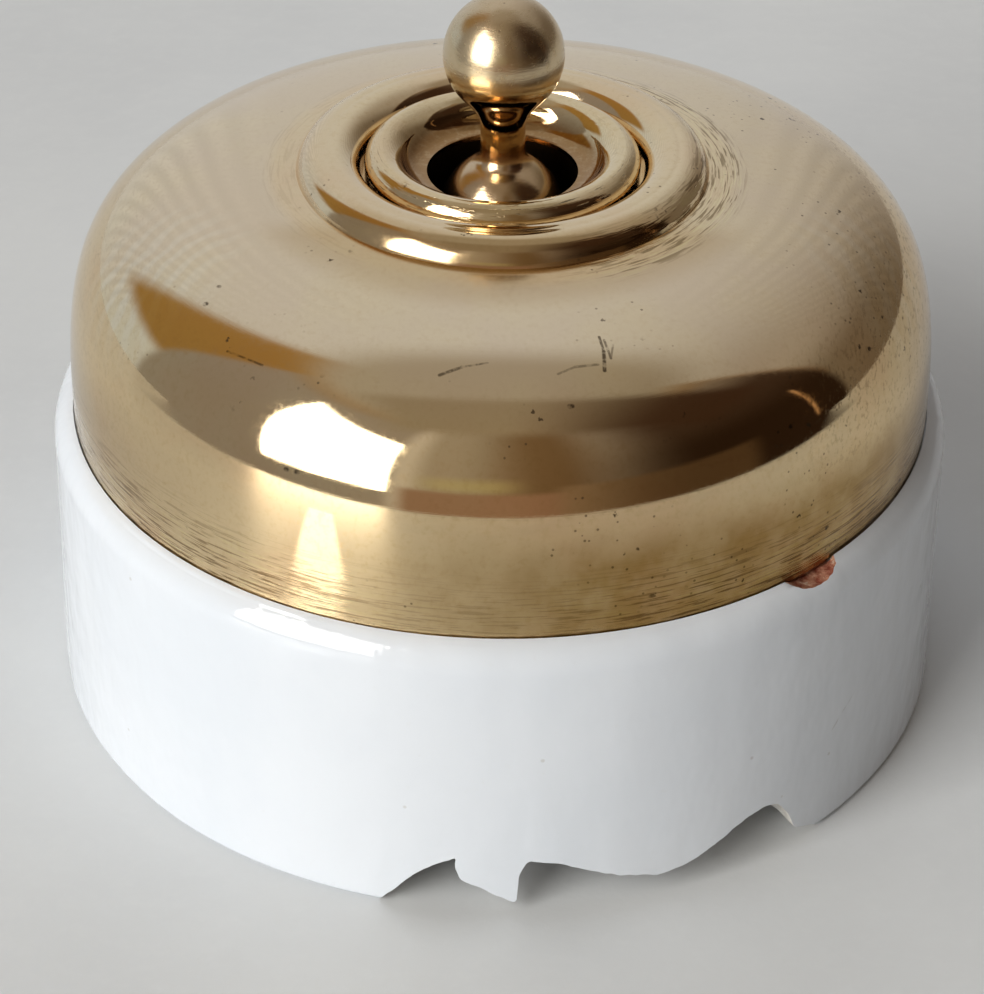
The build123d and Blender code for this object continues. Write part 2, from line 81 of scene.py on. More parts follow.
def runs(stops, end):
    """Straight runs through (point, steps) stops and on to the end, without the end."""
    points = []
    targets = [point for point, _ in stops[1:]] + [end]
    for (start, steps), target in zip(stops, targets):
        points += straight(start, target, steps)
    return points


def polar(radius, angle):
    """The x and y of a point at this radius and angle."""
    return radius * cos(angle), radius * sin(angle)


def bezier(p0, p1, p2, p3, steps):
    """Points of a cubic curve, without the end."""
    points = []
    for i in range(steps):
        t = i / steps
        a = (1 - t) ** 3
        b = 3 * (1 - t) ** 2 * t
        c = 3 * (1 - t) * t ** 2
        d = t ** 3
        points.append(tuple(a * p0[k] + b * p1[k] + c * p2[k] + d * p3[k] for k in (0, 1)))
    return points


def arc(centre, radius, first_deg, last_deg, steps):
    """Points of a circular arc, without the end. Angles run from +radius towards +height."""
    points = []
    for i in range(steps):
        angle = radians(first_deg + (last_deg - first_deg) * i / steps)
        points.append((centre[0] + radius * cos(angle), centre[1] + radius * sin(angle)))
    return points


def through(start, middle, end, steps):
    """Points of the circular arc through three points, without the end."""
    ax, ay = start
    bx, by = middle
    cx, cy = end
    d = 2 * (ax * (by - cy) + bx * (cy - ay) + cx * (ay - by))
    a2, b2, c2 = ax * ax + ay * ay, bx * bx + by * by, cx * cx + cy * cy
    ox = (a2 * (by - cy) + b2 * (cy - ay) + c2 * (ay - by)) / d
    oy = (a2 * (cx - bx) + b2 * (ax - cx) + c2 * (bx - ax)) / d
    angles = [atan2(y - oy, x - ox) for x, y in (start, middle, end)]
    for i in (1, 2):
        angles[i] = angles[i - 1] + (angles[i] - angles[i - 1] + pi) % TURN - pi
    return arc((ox, oy), hypot(ax - ox, ay - oy), degrees(angles[0]), degrees(angles[2]), steps)


# ---- mesh helpers

def new_object(name, bm, sharp_deg=35.0):
    """A smooth-shaded object whose edges steeper than sharp_deg stay crisp."""
    bmesh.ops.recalc_face_normals(bm, faces=bm.faces)
    mesh = bpy.data.meshes.new(name)
    bm.to_mesh(mesh)
    bm.free()
    shade(mesh, sharp_deg)
    obj = bpy.data.objects.new(name, mesh)
    bpy.context.scene.collection.objects.link(obj)
    return obj


def shade(mesh, sharp_deg):
    """Smooth faces, with crisp edges above this angle."""
    for face in mesh.polygons:
        face.use_smooth = True
    mesh.set_sharp_from_angle(angle=radians(sharp_deg))


def lathe(profile, segments, shift=None):
    """A closed turned body. shift(angle, radius, height) may move each point by (dr, dz)."""
    bm = bmesh.new()
    rings = []
    for radius, height in profile:
        if radius < 1e-7:
            rings.append([bm.verts.new((0, 0, height))])
            continue
        ring = []
        for i in range(segments):
            angle = TURN * i / segments
            dr, dz = shift(angle, radius, height) if shift else (0, 0)
            ring.append(bm.verts.new((*polar(radius + dr, angle), height + dz)))
        rings.append(ring)
    for a, b in zip(rings, rings[1:] + rings[:1]):
        if len(a) == 1 and len(b) == 1:
            continue
        for i in range(segments):
            j = (i + 1) % segments
            if len(a) == 1:
                bm.faces.new((a[0], b[i], b[j]))
            elif len(b) == 1:
                bm.faces.new((a[i], b[0], a[j]))
            else:
                bm.faces.new((a[i], b[i], b[j], a[j]))
    return bm


def tube(name, bm, rings, sharp_deg=35.0):
    """A closed body through rings of equal size, capped at both ends."""
    for a, b in zip(rings, rings[1:]):
        for i in range(len(a)):
            j = (i + 1) % len(a)
            bm.faces.new((a[i], a[j], b[j], b[i]))
    bm.faces.new(rings[0][::-1])
    bm.faces.new(rings[-1])
    return new_object(name, bm, sharp_deg)


def cylinder_cutter(name, x, y, z_range, radius, radius_top=None, segments=64):
    """An upright cylinder or cone that will be cut away."""
    bm = bmesh.new()
    low, high = z_range
    top = radius if radius_top is None else radius_top
    rings = []
    for r, z in ((radius, low), (top, high)):
        spots = [polar(r, TURN * i / segments) for i in range(segments)]
        rings.append([bm.verts.new((x + across, y + along, z)) for across, along in spots])
    return tube(name, bm, rings)


def box_cutter(name, x_range, y_range, z_range):
    """A box that will be cut away."""
    bm = bmesh.new()
    bmesh.ops.create_cube(bm, size=1.0)
    ranges = (x_range, y_range, z_range)
    for v in bm.verts:
        v.co = Vector([lo + (hi - lo) * (v.co[k] + 0.5) for k, (lo, hi) in enumerate(ranges)])
    return new_object(name, bm)


def cut(obj, cutters, sharp_deg=35.0, added=()):
    """Join the added closed meshes to obj, cut the cutters out of it, and delete them all."""
    tools = [("UNION", tool) for tool in added] + [("DIFFERENCE", tool) for tool in cutters]
    for operation, tool in tools:
        change = obj.modifiers.new("change", "BOOLEAN")
        change.operation = operation
        change.solver = "MANIFOLD"
        change.material_mode = "TRANSFER"
        change.object = tool
    graph = bpy.context.evaluated_depsgraph_get()
    mesh = bpy.data.meshes.new_from_object(obj.evaluated_get(graph))
    obj.modifiers.clear()
    old = obj.data
    obj.data = mesh
    mesh.name = old.name + "_cut"
    shade(mesh, sharp_deg)
    for _, tool in tools:
        bpy.data.objects.remove(tool, do_unlink=True)


def finish_piece(obj, body, node, materials=None):
    """Put a replacement piece in place of its CAD node."""
    if materials:
        obj.data.materials.clear()
        for material in materials:
            obj.data.materials.append(material)
    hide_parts(node)
    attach(obj, body)


# ---- node helpers

class Graph:
    """Short names for building a node tree. A value may be a socket or a plain number."""

    def __init__(self, tree):
        self.tree = tree
        tree.nodes.clear()

    def node(self, kind, inputs=None, **settings):
        """A new shader node with these inputs and settings."""
        made = self.tree.nodes.new("ShaderNode" + kind)
        for key, value in settings.items():
            setattr(made, key, value)
        for key, value in (inputs or {}).items():
            self.feed(made.inputs[key], value)
        return made

    def feed(self, socket, value):
        """Link or set one input. A colour given as three numbers gets its alpha here."""
        if isinstance(value, bpy.types.NodeSocket):
            self.tree.links.new(value, socket)
        elif value is not None:
            socket.default_value = (*value, 1.0) if socket.type == "RGBA" else value

    def math(self, operation, a, b=None):
        return self.node("Math", {0: a, 1: b}, operation=operation).outputs[0]

    def add(self, a, b):
        return self.math("ADD", a, b)

    def mul(self, a, b):
        return self.math("MULTIPLY", a, b)

    def vector(self, operation, a, b=None, scale=None):
        """Vector arithmetic. Lengths and products come back as one number."""
        inputs = {0: a, 1: b}
        if scale is not None:
            inputs["Scale"] = scale
        made = self.node("VectorMath", inputs, operation=operation)
        single = operation in ("LENGTH", "DISTANCE", "DOT_PRODUCT")
        return made.outputs["Value"] if single else made.outputs[0]

    def step(self, value, low, high, to_low=0.0, to_high=1.0):
        """Smooth step of value from low to high."""
        made = self.node("MapRange", {
            "Value": value, "From Min": low, "From Max": high, "To Min": to_low,
            "To Max": to_high}, interpolation_type="SMOOTHSTEP")
        return made.outputs["Result"]

    def step_mm(self, value, low, high, *ends):
        """Smooth step of a length from low to high mm."""
        return self.step(value, low * MM, high * MM, *ends)

    def fall(self, value, low, high):
        """Smooth step down from one to zero."""
        return self.step(value, low, high, 1.0, 0.0)

    def band(self, value, low, high, soft):
        """One between low and high, with soft edges."""
        half = soft / 2
        return self.plateau(value, low - half, low + half, high - half, high + half)

    def plateau(self, value, rise, full, fading, gone):
        """One between full and fading, zero before rise and after gone."""
        return self.mul(self.step(value, rise, full), self.fall(value, fading, gone))

    def mix(self, factor, a, b, blend="MIX"):
        made = self.node(
            "Mix", {"Factor": factor, "A": a, "B": b}, data_type="RGBA", blend_type=blend)
        return made.outputs["Result"]

    def lay(self, colour, tone, mask, amount=1.0):
        """Colour with a tone laid over it where the mask is high."""
        return self.mix(self.mul(mask, amount), colour, tone)

    def tint(self, colour, shade, mask):
        """Colour multiplied by a shade where the mask is high."""
        return self.mix(mask, colour, self.mix(1.0, colour, shade, "MULTIPLY"))

    def noise(self, vector, scale, detail=3.0, roughness=0.5):
        made = self.node("TexNoise", {
            "Vector": vector, "Scale": scale, "Detail": detail, "Roughness": roughness})
        return made.outputs["Fac"]

    def cells(self, vector, scale):
        """Distance to scattered points."""
        return self.node("TexVoronoi", {"Vector": vector, "Scale": scale}).outputs["Distance"]

    def xyz(self, vector):
        return tuple(self.node("SeparateXYZ", {0: vector}).outputs)

    def away(self, position, point):
        return self.vector("DISTANCE", position, point)

    def off_axis(self, position):
        """Distance from the Z axis."""
        return self.vector("LENGTH", self.vector("MULTIPLY", position, (1.0, 1.0, 0.0)))

    def combine(self, x, y, z):
        return self.node("CombineXYZ", {0: x, 1: y, 2: z}).outputs[0]

    def bump(self, height, distance, strength=1.0):
        made = self.node("Bump", {"Height": height, "Distance": distance, "Strength": strength})
        return made.outputs[0]


def new_material(name):
    """An empty material, its node graph and the position in the piece's own frame."""
    material = bpy.data.materials.new(name)
    material.use_nodes = True
    g = Graph(material.node_tree)
    return material, g, g.node("TexCoord").outputs["Object"]


def surface(g, colour, roughness, normal, metallic=0.0, ior=1.5):
    """A Principled shader with these inputs, as the material's surface."""
    shader = g.node("BsdfPrincipled", {
        "Base Color": colour, "Metallic": metallic, "Roughness": roughness, "IOR": ior,
        "Normal": normal})
    g.node("OutputMaterial", {"Surface": shader.outputs[0]})


def around(g, position, per_turn, across, rise=1.0):
    """A vector that runs slowly round the Z axis and fast along a turned profile."""
    z = g.xyz(position)[2]
    flat = g.vector("NORMALIZE", g.vector("MULTIPLY", position, (1.0, 1.0, 0.0)))
    radius = g.off_axis(position)
    along = g.mul(g.math("SUBTRACT", g.mul(z, rise), radius), across)
    ring = g.vector("SCALE", flat, scale=per_turn)
    return g.vector("ADD", ring, g.combine(0.0, 0.0, along)), radius, z


# ---- brass

def strokes(g, position, marks):
    """One inside thin straight marks, each (start, end, width, strength) in mm."""
    total = 0.0
    for start, end, width, strength in marks:
        a = Vector(start) * MM
        along = Vector(end) * MM - a
        offset = g.vector("SUBTRACT", position, tuple(a))
        share = g.vector("DOT_PRODUCT", offset, tuple(along))
        share = g.mul(share, 1.0 / along.length_squared)
        share = g.math("MINIMUM", g.math("MAXIMUM", share, 0.0), 1.0)
        nearest = g.vector("SCALE", tuple(along), scale=share)
        distance = g.vector("LENGTH", g.vector("SUBTRACT", offset, nearest))
        one = g.step_mm(distance, width * 0.4, width, strength, 0.0)
        total = g.math("MAXIMUM", total, one)
    return total


def patina(g, position, tone, seed):
    """Colour and roughness of old polished brass: soft clouds and a fine mottled grain."""
    shifted = g.vector("ADD", position, (seed, seed, seed))
    cloud = g.noise(shifted, 90.0, 3.0, 0.6)
    grain = g.noise(shifted, 2300.0, 2.0, 0.6)
    dull = tuple(c * k for c, k in zip(tone, (0.84, 0.77, 0.64)))
    rosy = tuple(c * k for c, k in zip(tone, (0.98, 0.91, 0.88)))
    colour = g.mix(g.step(cloud, 0.40, 0.66), tone, rosy)
    colour = g.lay(colour, dull, g.step(grain, 0.45, 0.78), 0.40)
    rough = g.add(0.035, g.mul(g.step(grain, 0.35, 0.80), 0.055))
    return shifted, cloud, grain, colour, rough


def dark_dots(g, shifted, wander, scale, size, crowd):
    """Scattered pits with ragged outlines, only where crowd is high."""
    drift = g.vector("SCALE", g.combine(wander, wander, 0.0), scale=0.7 * MM)
    moved = g.vector("ADD", shifted, drift)
    cells = g.cells(moved, scale)
    return g.mul(g.step(cells, size, size * 1.7, 1.0, 0.0), g.step(crowd, 0.54, 0.62))


STAIN = (0.060, 0.032, 0.013)


def dome_material(marks):
    """The cover's brass: scratches by the rim and bead, scuffed flanks, pits, marks and grime, with
    painted reflections, highlights and shade.

    Each mark is (start, end, width, strength), with its points and width in mm.
    """
    material, g, position = new_material("brass_dome")
    shifted, cloud, grain, colour, rough = patina(g, position, (0.86, 0.672, 0.405), 0.0)
    x, y, _ = g.xyz(position)
    turning, radius, height = around(g, position, 9.0, 6500.0)
    streaks = g.noise(turning, 1.0, 2.5, 0.6)

    # Crown: a paler haze left by fingers and weak polish.
    haze = g.mul(g.step_mm(height, 33.5, 37.8), g.step(cloud, 0.30, 0.62, 0.55, 1.0))
    haze = g.mul(haze, g.step_mm(radius, 15.2, 16.5, 0.35, 1.0))
    colour = g.lay(colour, (0.80, 0.655, 0.480), haze, 0.72)
    rough = g.add(rough, g.mul(haze, 0.07))

    # Faint curved bands high on both flanks: painted reflections of striped curtains, which lighten
    # the colour.
    reflection_arcs = None
    left_arcs = ((-22.5 * MM, -10 * MM, 35 * MM), (-8 * MM, -20 * MM, 33 * MM), 1.5 * MM)
    right_arcs = ((25.0 * MM, -8 * MM, 35 * MM), (10 * MM, -16 * MM, 33 * MM), 1.7 * MM)
    for centre, focus, spacing in (left_arcs, right_arcs):
        away = g.add(g.away(position, focus), g.mul(cloud, 5.5 * MM))
        bands = g.step(g.math("SINE", g.mul(away, TURN / spacing)), -0.6, 0.9)
        spot = g.step_mm(g.away(position, centre), 3, 8, 1.0, 0.0)
        one = g.mul(bands, spot)
        reflection_arcs = one if reflection_arcs is None else g.add(reflection_arcs, one)
    colour = g.lay(colour, (0.95, 0.84, 0.66), reflection_arcs, 0.26)

    # Rim: turning scratches, strongest to the left and right of the front, with dark grooves and a
    # painted highlight along their ridges.
    side = g.math("ABSOLUTE", g.add(x, 1.5 * MM))
    rim = g.step_mm(height, 22.8, 27.5, 1.0, 0.0)
    rim = g.mul(rim, g.step_mm(side, 3, 14, 0.35, 1.0))
    groove = g.mul(g.step(streaks, 0.53, 0.60), rim)
    ridge_glint = g.mul(g.step(streaks, 0.43, 0.36), rim)
    colour = g.lay(colour, (0.20, 0.11, 0.035), groove, 0.72)
    # Painted highlight: the scratch ridges turn bright yellow.
    colour = g.lay(colour, (0.97, 0.84, 0.42), ridge_glint, 0.50)

    # Bead: circular scratches over and beside it, most of them on the +X side, with a painted
    # highlight along their ridges.
    circling, _, _ = around(g, position, 5.0, 5200.0, 0.0)
    rings = g.noise(circling, 1.0, 2.0, 0.6)
    share = g.add(g.step_mm(x, 2, 10), g.step_mm(x, -7, -13, 0.0, 0.16))
    share = g.mul(share, g.step_mm(height, 36, 37))
    bead = g.mul(g.band(radius, 13.0 * MM, 16.4 * MM, 1.2 * MM), share)
    bead_groove = g.mul(g.step(rings, 0.52, 0.60), bead)
    bead_ridge_glint = g.mul(g.step(rings, 0.46, 0.38), bead)
    colour = g.lay(colour, (0.22, 0.14, 0.05), bead_groove, 0.70)
    # Painted highlight on the bead's scratch ridges.
    colour = g.lay(colour, (0.93, 0.80, 0.45), bead_ridge_glint, 0.40)
    flank = g.mul(g.step_mm(height, 38.2, 38.6), g.step_mm(radius, 12.2, 12.9))
    flank = g.mul(flank, g.step_mm(y, -7, -10))
    colour = g.tint(colour, (0.74, 0.64, 0.46), g.mul(flank, 0.55))
    rough = g.add(rough, g.mul(flank, 0.05))

    # Fine abrasion on both flanks.
    slanted = g.vector("ADD", position, g.combine(0.0, x, 0.0))
    stretch = g.noise(g.vector("MULTIPLY", slanted, (4200.0, 1500.0, 2600.0)), 1.0, 2.0, 0.6)
    worn = g.mul(g.step_mm(x, 17, 24), g.band(height, 28 * MM, 36.5 * MM, 4 * MM))
    worn = g.add(worn, g.step_mm(x, -20, -27, 0.0, 0.25))
    scuff = g.mul(g.step(stretch, 0.52, 0.66), g.add(g.mul(worn, 0.9), 0.05))
    colour = g.lay(colour, (0.34, 0.22, 0.10), scuff, 0.38)

    # Pits gather on the +X side and in a few patches elsewhere.
    crowd = g.add(g.noise(shifted, 150.0, 2.0, 0.6), g.step_mm(x, -6, 28, -0.04, 0.09))
    pit = dark_dots(g, shifted, grain, 620.0, 0.075, crowd)
    fine_pit = dark_dots(g, shifted, cloud, 1500.0, 0.10, crowd)
    pit = g.math("MAXIMUM", pit, g.mul(fine_pit, 0.7))
    colour = g.lay(colour, STAIN, pit, 0.85)

    # Painted shade, partly grime: the lower front and the lower +X side are darkened and dulled,
    # and the lower -X side is darkened a little.
    low = g.step_mm(height, 31, 26)
    shade_and_grime = g.mul(g.step_mm(x, -18, 10), low)
    # Painted shade down the +X side.
    right_side_shade = g.mul(g.step_mm(x, 20, 28), g.step_mm(height, 37, 32, 0.0, 0.5))
    shade_and_grime = g.math("MAXIMUM", shade_and_grime, right_side_shade)
    blotch = g.step(g.noise(shifted, 420.0, 2.0, 0.6), 0.30, 0.65, 0.80, 1.0)
    colour = g.tint(colour, (0.44, 0.36, 0.21), g.mul(shade_and_grime, blotch))
    # Painted shade on the lower -X side.
    dimmer = g.mul(g.step_mm(x, -17, -26), low)
    colour = g.tint(colour, (0.78, 0.77, 0.78), dimmer)
    rough = g.add(rough, g.mul(shade_and_grime, 0.05))

    mark = g.mul(strokes(g, position, marks), g.step(grain, 0.34, 0.56, 0.25, 1.0))
    colour = g.lay(colour, STAIN, mark, 0.85)

    rough = g.add(rough, g.mul(g.math("MAXIMUM", pit, g.math("MAXIMUM", groove, scuff)), 0.15))
    relief = g.add(g.mul(streaks, g.add(0.02, rim)), g.mul(rings, bead))
    normal = g.bump(relief, 0.000045)
    surface(g, colour, rough, normal, 1.0)
    return material


def ring_material():
    """The ring nut's brass: bright on the crest, with painted shade making it dark and coppery down
    in the bowl and round its foot.
    """
    material, g, position = new_material("brass_ring")
    shifted, cloud, grain, colour, rough = patina(g, position, (0.84, 0.665, 0.405), 0.31)
    turning, radius, height = around(g, position, 5.0, 7000.0)
    lines = g.noise(turning, 1.0, 2.0, 0.55)
    # Painted shade: the bowl is darkened to a coppery brown.
    bowl_shade = g.mul(g.step_mm(radius, 7.25, 6.35), g.step_mm(height, 40.4, 39.7))
    bowl_shade = g.mul(bowl_shade, g.step(grain, 0.20, 0.55, 0.80, 1.0))
    colour = g.lay(colour, (0.36, 0.195, 0.075), bowl_shade, 0.95)
    # Painted shade in the gap between the ring's foot and the bead recess.
    gap_shade = g.step_mm(height, 39.2, 38.2)
    gap_shade = g.mul(gap_shade, g.step_mm(radius, 9.0, 9.3))
    colour = g.mix(gap_shade, colour, (0.20, 0.11, 0.04))
    nick = g.mul(g.step(lines, 0.60, 0.70), g.step_mm(radius, 8.2, 8.8, 0.15, 1.0))
    colour = g.lay(colour, STAIN, nick, 0.6)
    pit = dark_dots(g, shifted, grain, 900.0, 0.09, cloud)
    colour = g.lay(colour, STAIN, pit, 0.7)
    rough = g.add(rough, g.mul(bowl_shade, 0.03))
    normal = g.bump(g.add(g.mul(lines, 0.35), g.mul(nick, -0.5)), 0.00003)
    surface(g, colour, rough, normal, 1.0)
    return material


def dolly_material():
    """The dolly's brass: polished knob and neck, brown and matt round the root."""
    material, g, position = new_material("brass_dolly")
    shifted, cloud, grain, colour, rough = patina(g, position, (0.70, 0.565, 0.365), 0.77)
    height = g.xyz(position)[2]
    low = g.step_mm(height, 44.6, 42.6)
    colour = g.mix(low, colour, (0.80, 0.60, 0.31))
    worn = g.step(g.add(height, g.mul(grain, 0.9 * MM)), 41.3 * MM, 40.4 * MM)
    brown = g.mix(g.step(cloud, 0.35, 0.65), (0.70, 0.50, 0.31), (0.62, 0.45, 0.24))
    colour = g.mix(worn, colour, brown)
    rough = g.add(rough, g.mul(worn, 0.13))
    turning, _, _ = around(g, position, 6.0, 6000.0)
    lines = g.noise(turning, 1.0, 2.0, 0.6)
    pit = dark_dots(g, shifted, cloud, 1300.0, 0.10, g.add(cloud, -0.02))
    colour = g.lay(colour, STAIN, pit, 0.7)
    rough = g.add(rough, g.mul(g.step_mm(height, 44.8, 46.8), 0.20))
    normal = g.bump(g.add(g.mul(lines, 0.25), g.mul(pit, -0.4)), 0.00003)
    surface(g, colour, rough, normal, 1.0)
    return material


def plain_metal(name, tone, dark, rough, shaded_bore=0.0):
    """Unpolished hidden metal: machining grain, tarnish, and painted shade inside the given bore
    radius.
    """
    material, g, position = new_material(name)
    cloud = g.noise(position, 240.0, 5.0, 0.65)
    grain = g.noise(g.vector("MULTIPLY", position, (1.0, 0.16, 1.0)), 2700.0, 3.0, 0.6)
    specks = g.step(g.cells(position, 700.0), 0.08, 0.16, 1.0, 0.0)
    colour = g.mix(g.step(cloud, 0.38, 0.68), tone, dark)
    colour = g.lay(colour, dark, g.step(grain, 0.45, 0.75), 0.35)
    colour = g.lay(colour, tuple(c * 0.35 for c in dark), specks, 0.5)
    if shaded_bore:
        # Painted shade: the inside of the bore is made nearly black.
        bore_shade = g.step(g.off_axis(position), shaded_bore + 0.1 * MM, shaded_bore - 0.1 * MM, 0.0, 0.94)
        colour = g.mix(bore_shade, colour, (0.012, 0.007, 0.004))
    roughness = g.add(rough, g.mul(cloud, 0.25))
    height_map = g.add(g.mul(grain, 0.6), g.mul(specks, -0.8))
    normal = g.bump(height_map, 0.000012)
    surface(g, colour, roughness, normal, 1.0)
    return material


# ---- porcelain

def glaze_material():
    """Glossy bluish-white glaze with faint waves, a brown speck, pinholes and a hairline crack."""
    material, g, position = new_material("porcelain_glaze")
    wave = g.noise(position, 75.0, 2.0, 0.5)
    ripple = g.noise(g.vector("MULTIPLY", position, (1.0, 1.0, 0.6)), 420.0, 2.0, 0.5)
    cloud = g.noise(position, 60.0, 4.0, 0.6)
    dust = g.noise(position, 1500.0, 4.0, 0.7)
    white = (0.735, 0.775, 0.835)
    cool = (0.700, 0.745, 0.810)
    colour = g.mix(g.step(cloud, 0.35, 0.70), white, cool)
    colour = g.lay(colour, (0.62, 0.62, 0.60), g.step(dust, 0.62, 0.80), 0.16)
    pin = g.step(g.cells(position, 240.0), 0.020, 0.045, 1.0, 0.0)
    colour = g.lay(colour, (0.45, 0.44, 0.41), pin, 0.42)
    chip_at = (20.6 * MM, -22.9 * MM, 21.2 * MM)
    speck_at = (17.25 * MM, -27.75 * MM, 9.4 * MM)
    speck = g.step(g.away(position, speck_at), 0.00016, 0.00034, 1.0, 0.0)
    colour = g.mix(speck, colour, (0.16, 0.065, 0.02))
    stained = g.step_mm(g.away(position, chip_at), 1.9, 2.5, 1.0, 0.0)
    ledge = g.mul(stained, g.step_mm(g.off_axis(position), 30.62, 30.57))
    colour = g.lay(colour, (0.30, 0.10, 0.045), ledge, 0.95)
    wander = g.vector("ADD", position, g.vector(
        "SCALE", g.combine(ripple, cloud, wave), scale=0.0016))
    crack = strokes(g, wander, CRACK)
    broken = g.step(dust, 0.38, 0.60, 0.25, 1.0)
    colour = g.lay(colour, (0.42, 0.42, 0.42), g.mul(crack, broken), 0.40)
    height_map = g.add(g.mul(wave, 1.0), g.mul(ripple, 1.5))
    height_map = g.add(height_map, g.mul(pin, -0.12))
    normal = g.bump(height_map, 0.00010, 0.6)
    rough = g.add(0.03, g.mul(g.step(dust, 0.5, 0.8), 0.10))
    surface(g, colour, rough, normal, ior=1.55)
    return material


# Hairline crack up from the right break: points in mm, width in mm, strength.
CRACK = [
    ((17.6, -27.6, 3.9), (20.2, -25.7, 5.4), 0.11, 1.0),
    ((20.2, -25.7, 5.4), (23.2, -23.0, 7.9), 0.11, 1.0),
    ((23.2, -23.0, 7.9), (26.2, -19.4, 11.9), 0.11, 1.0),
]


def bisque_material():
    """Broken porcelain body: matt, slightly grainy, a little dirty."""
    material, g, position = new_material("porcelain_fracture")
    grain = g.noise(position, 2600.0, 4.0, 0.7)
    dirt = g.noise(position, 380.0, 5.0, 0.65)
    colour = g.mix(g.step(dirt, 0.45, 0.75), (0.78, 0.775, 0.75), (0.52, 0.49, 0.44))
    colour = g.lay(colour, (0.40, 0.38, 0.34), g.step(grain, 0.55, 0.8), 0.25)
    conchoid = g.noise(position, 900.0, 2.0, 0.5)
    normal = g.bump(g.add(g.mul(conchoid, 1.0), g.mul(grain, 0.35)), 0.00008)
    surface(g, colour, 0.62, normal)
    return material


def chip_material():
    """Chip stained reddish brown by old varnish and rust."""
    material, g, position = new_material("chip_stain")
    blotch = g.noise(position, 1300.0, 5.0, 0.7)
    colour = g.mix(g.step(blotch, 0.36, 0.60), (0.22, 0.045, 0.022), (0.50, 0.235, 0.145))
    colour = g.mix(g.step(blotch, 0.56, 0.68), colour, (0.70, 0.54, 0.42))
    normal = g.bump(g.noise(position, 2600.0, 4.0, 0.7), 0.0001)
    surface(g, colour, 0.7, normal)
    return material


def fibre_material(name, tone, dark, rough):
    """Pressed fibre or moulded insulation: fine mottling, faint sheen and small scuffs."""
    material, g, position = new_material(name)
    mottle = g.noise(position, 600.0, 6.0, 0.7)
    scuff = g.noise(g.vector("MULTIPLY", position, (1.0, 5.0, 1.0)), 420.0, 3.0, 0.6)
    colour = g.mix(g.step(mottle, 0.35, 0.7), tone, dark)
    pale = tuple(min(1.0, c * 1.9 + 0.03) for c in tone)
    colour = g.lay(colour, pale, g.step(scuff, 0.62, 0.8), 0.4)
    roughness = g.add(rough, g.mul(scuff, 0.2))
    normal = g.bump(g.add(mottle, g.mul(scuff, 0.5)), 0.00002)
    surface(g, colour, roughness, normal)
    return material


# ---- turned brass pieces

def dome_shift(angle, radius, height):
    """Slight unevenness left by spinning and years of polishing."""
    place = Vector((cos(angle) * 2.1, sin(angle) * 2.1, (height - radius) * 70))
    return 0.000045 * noise.noise(place), 0.00003 * noise.noise(place + Vector((5, 3, 1)))


# Scratches and spots on the dome: start and end as (degrees from -Y towards +X, radius in mm),
# then width in mm and strength.
SCRATCHES = [
    ((16.7, 21.4), (16.5, 22.6), 0.13, 0.9),
    ((16.5, 22.6), (15.6, 24.0), 0.17, 1.0),
    ((17.3, 21.7), (17.2, 23.2), 0.12, 0.8),
    ((17.2, 23.2), (18.4, 22.2), 0.10, 0.6),
    ((-8.9, 24.1), (-5.8, 23.4), 0.17, 0.85),
    ((-5.8, 23.4), (-2.0, 23.0), 0.12, 0.7),
    ((8.6, 23.9), (11.3, 23.5), 0.12, 0.5),
    ((11.3, 23.5), (14.9, 23.5), 0.14, 0.6),
    ((-41.3, 26.1), (-34.9, 26.0), 0.12, 0.75),
    ((9.5, 26.0), (9.8, 26.0), 0.22, 1.0),
    ((-26.8, 29.43), (-26.6, 29.43), 0.20, 1.0),
    ((-25.3, 29.42), (-25.1, 29.42), 0.20, 1.0),
    ((-51.0, 24.4), (-50.8, 24.4), 0.24, 1.0),
    ((-52.3, 23.0), (-52.1, 23.0), 0.20, 0.9),
]


def under_dome(outline, spot):
    """The point in mm a hair below the dome's outline at (degrees, radius)."""
    hair = 0.03
    turn, radius = spot
    x, y = polar(radius, radians(turn - 90))
    for (r0, z0), (r1, z1) in zip(outline, outline[1:]):
        if r1 <= radius * MM <= r0:
            share = (r0 - radius * MM) / max(r0 - r1, 1e-9)
            return x, y, (z0 + (z1 - z0) * share) / MM - hair
    return x, y, outline[-1][1] / MM - hair


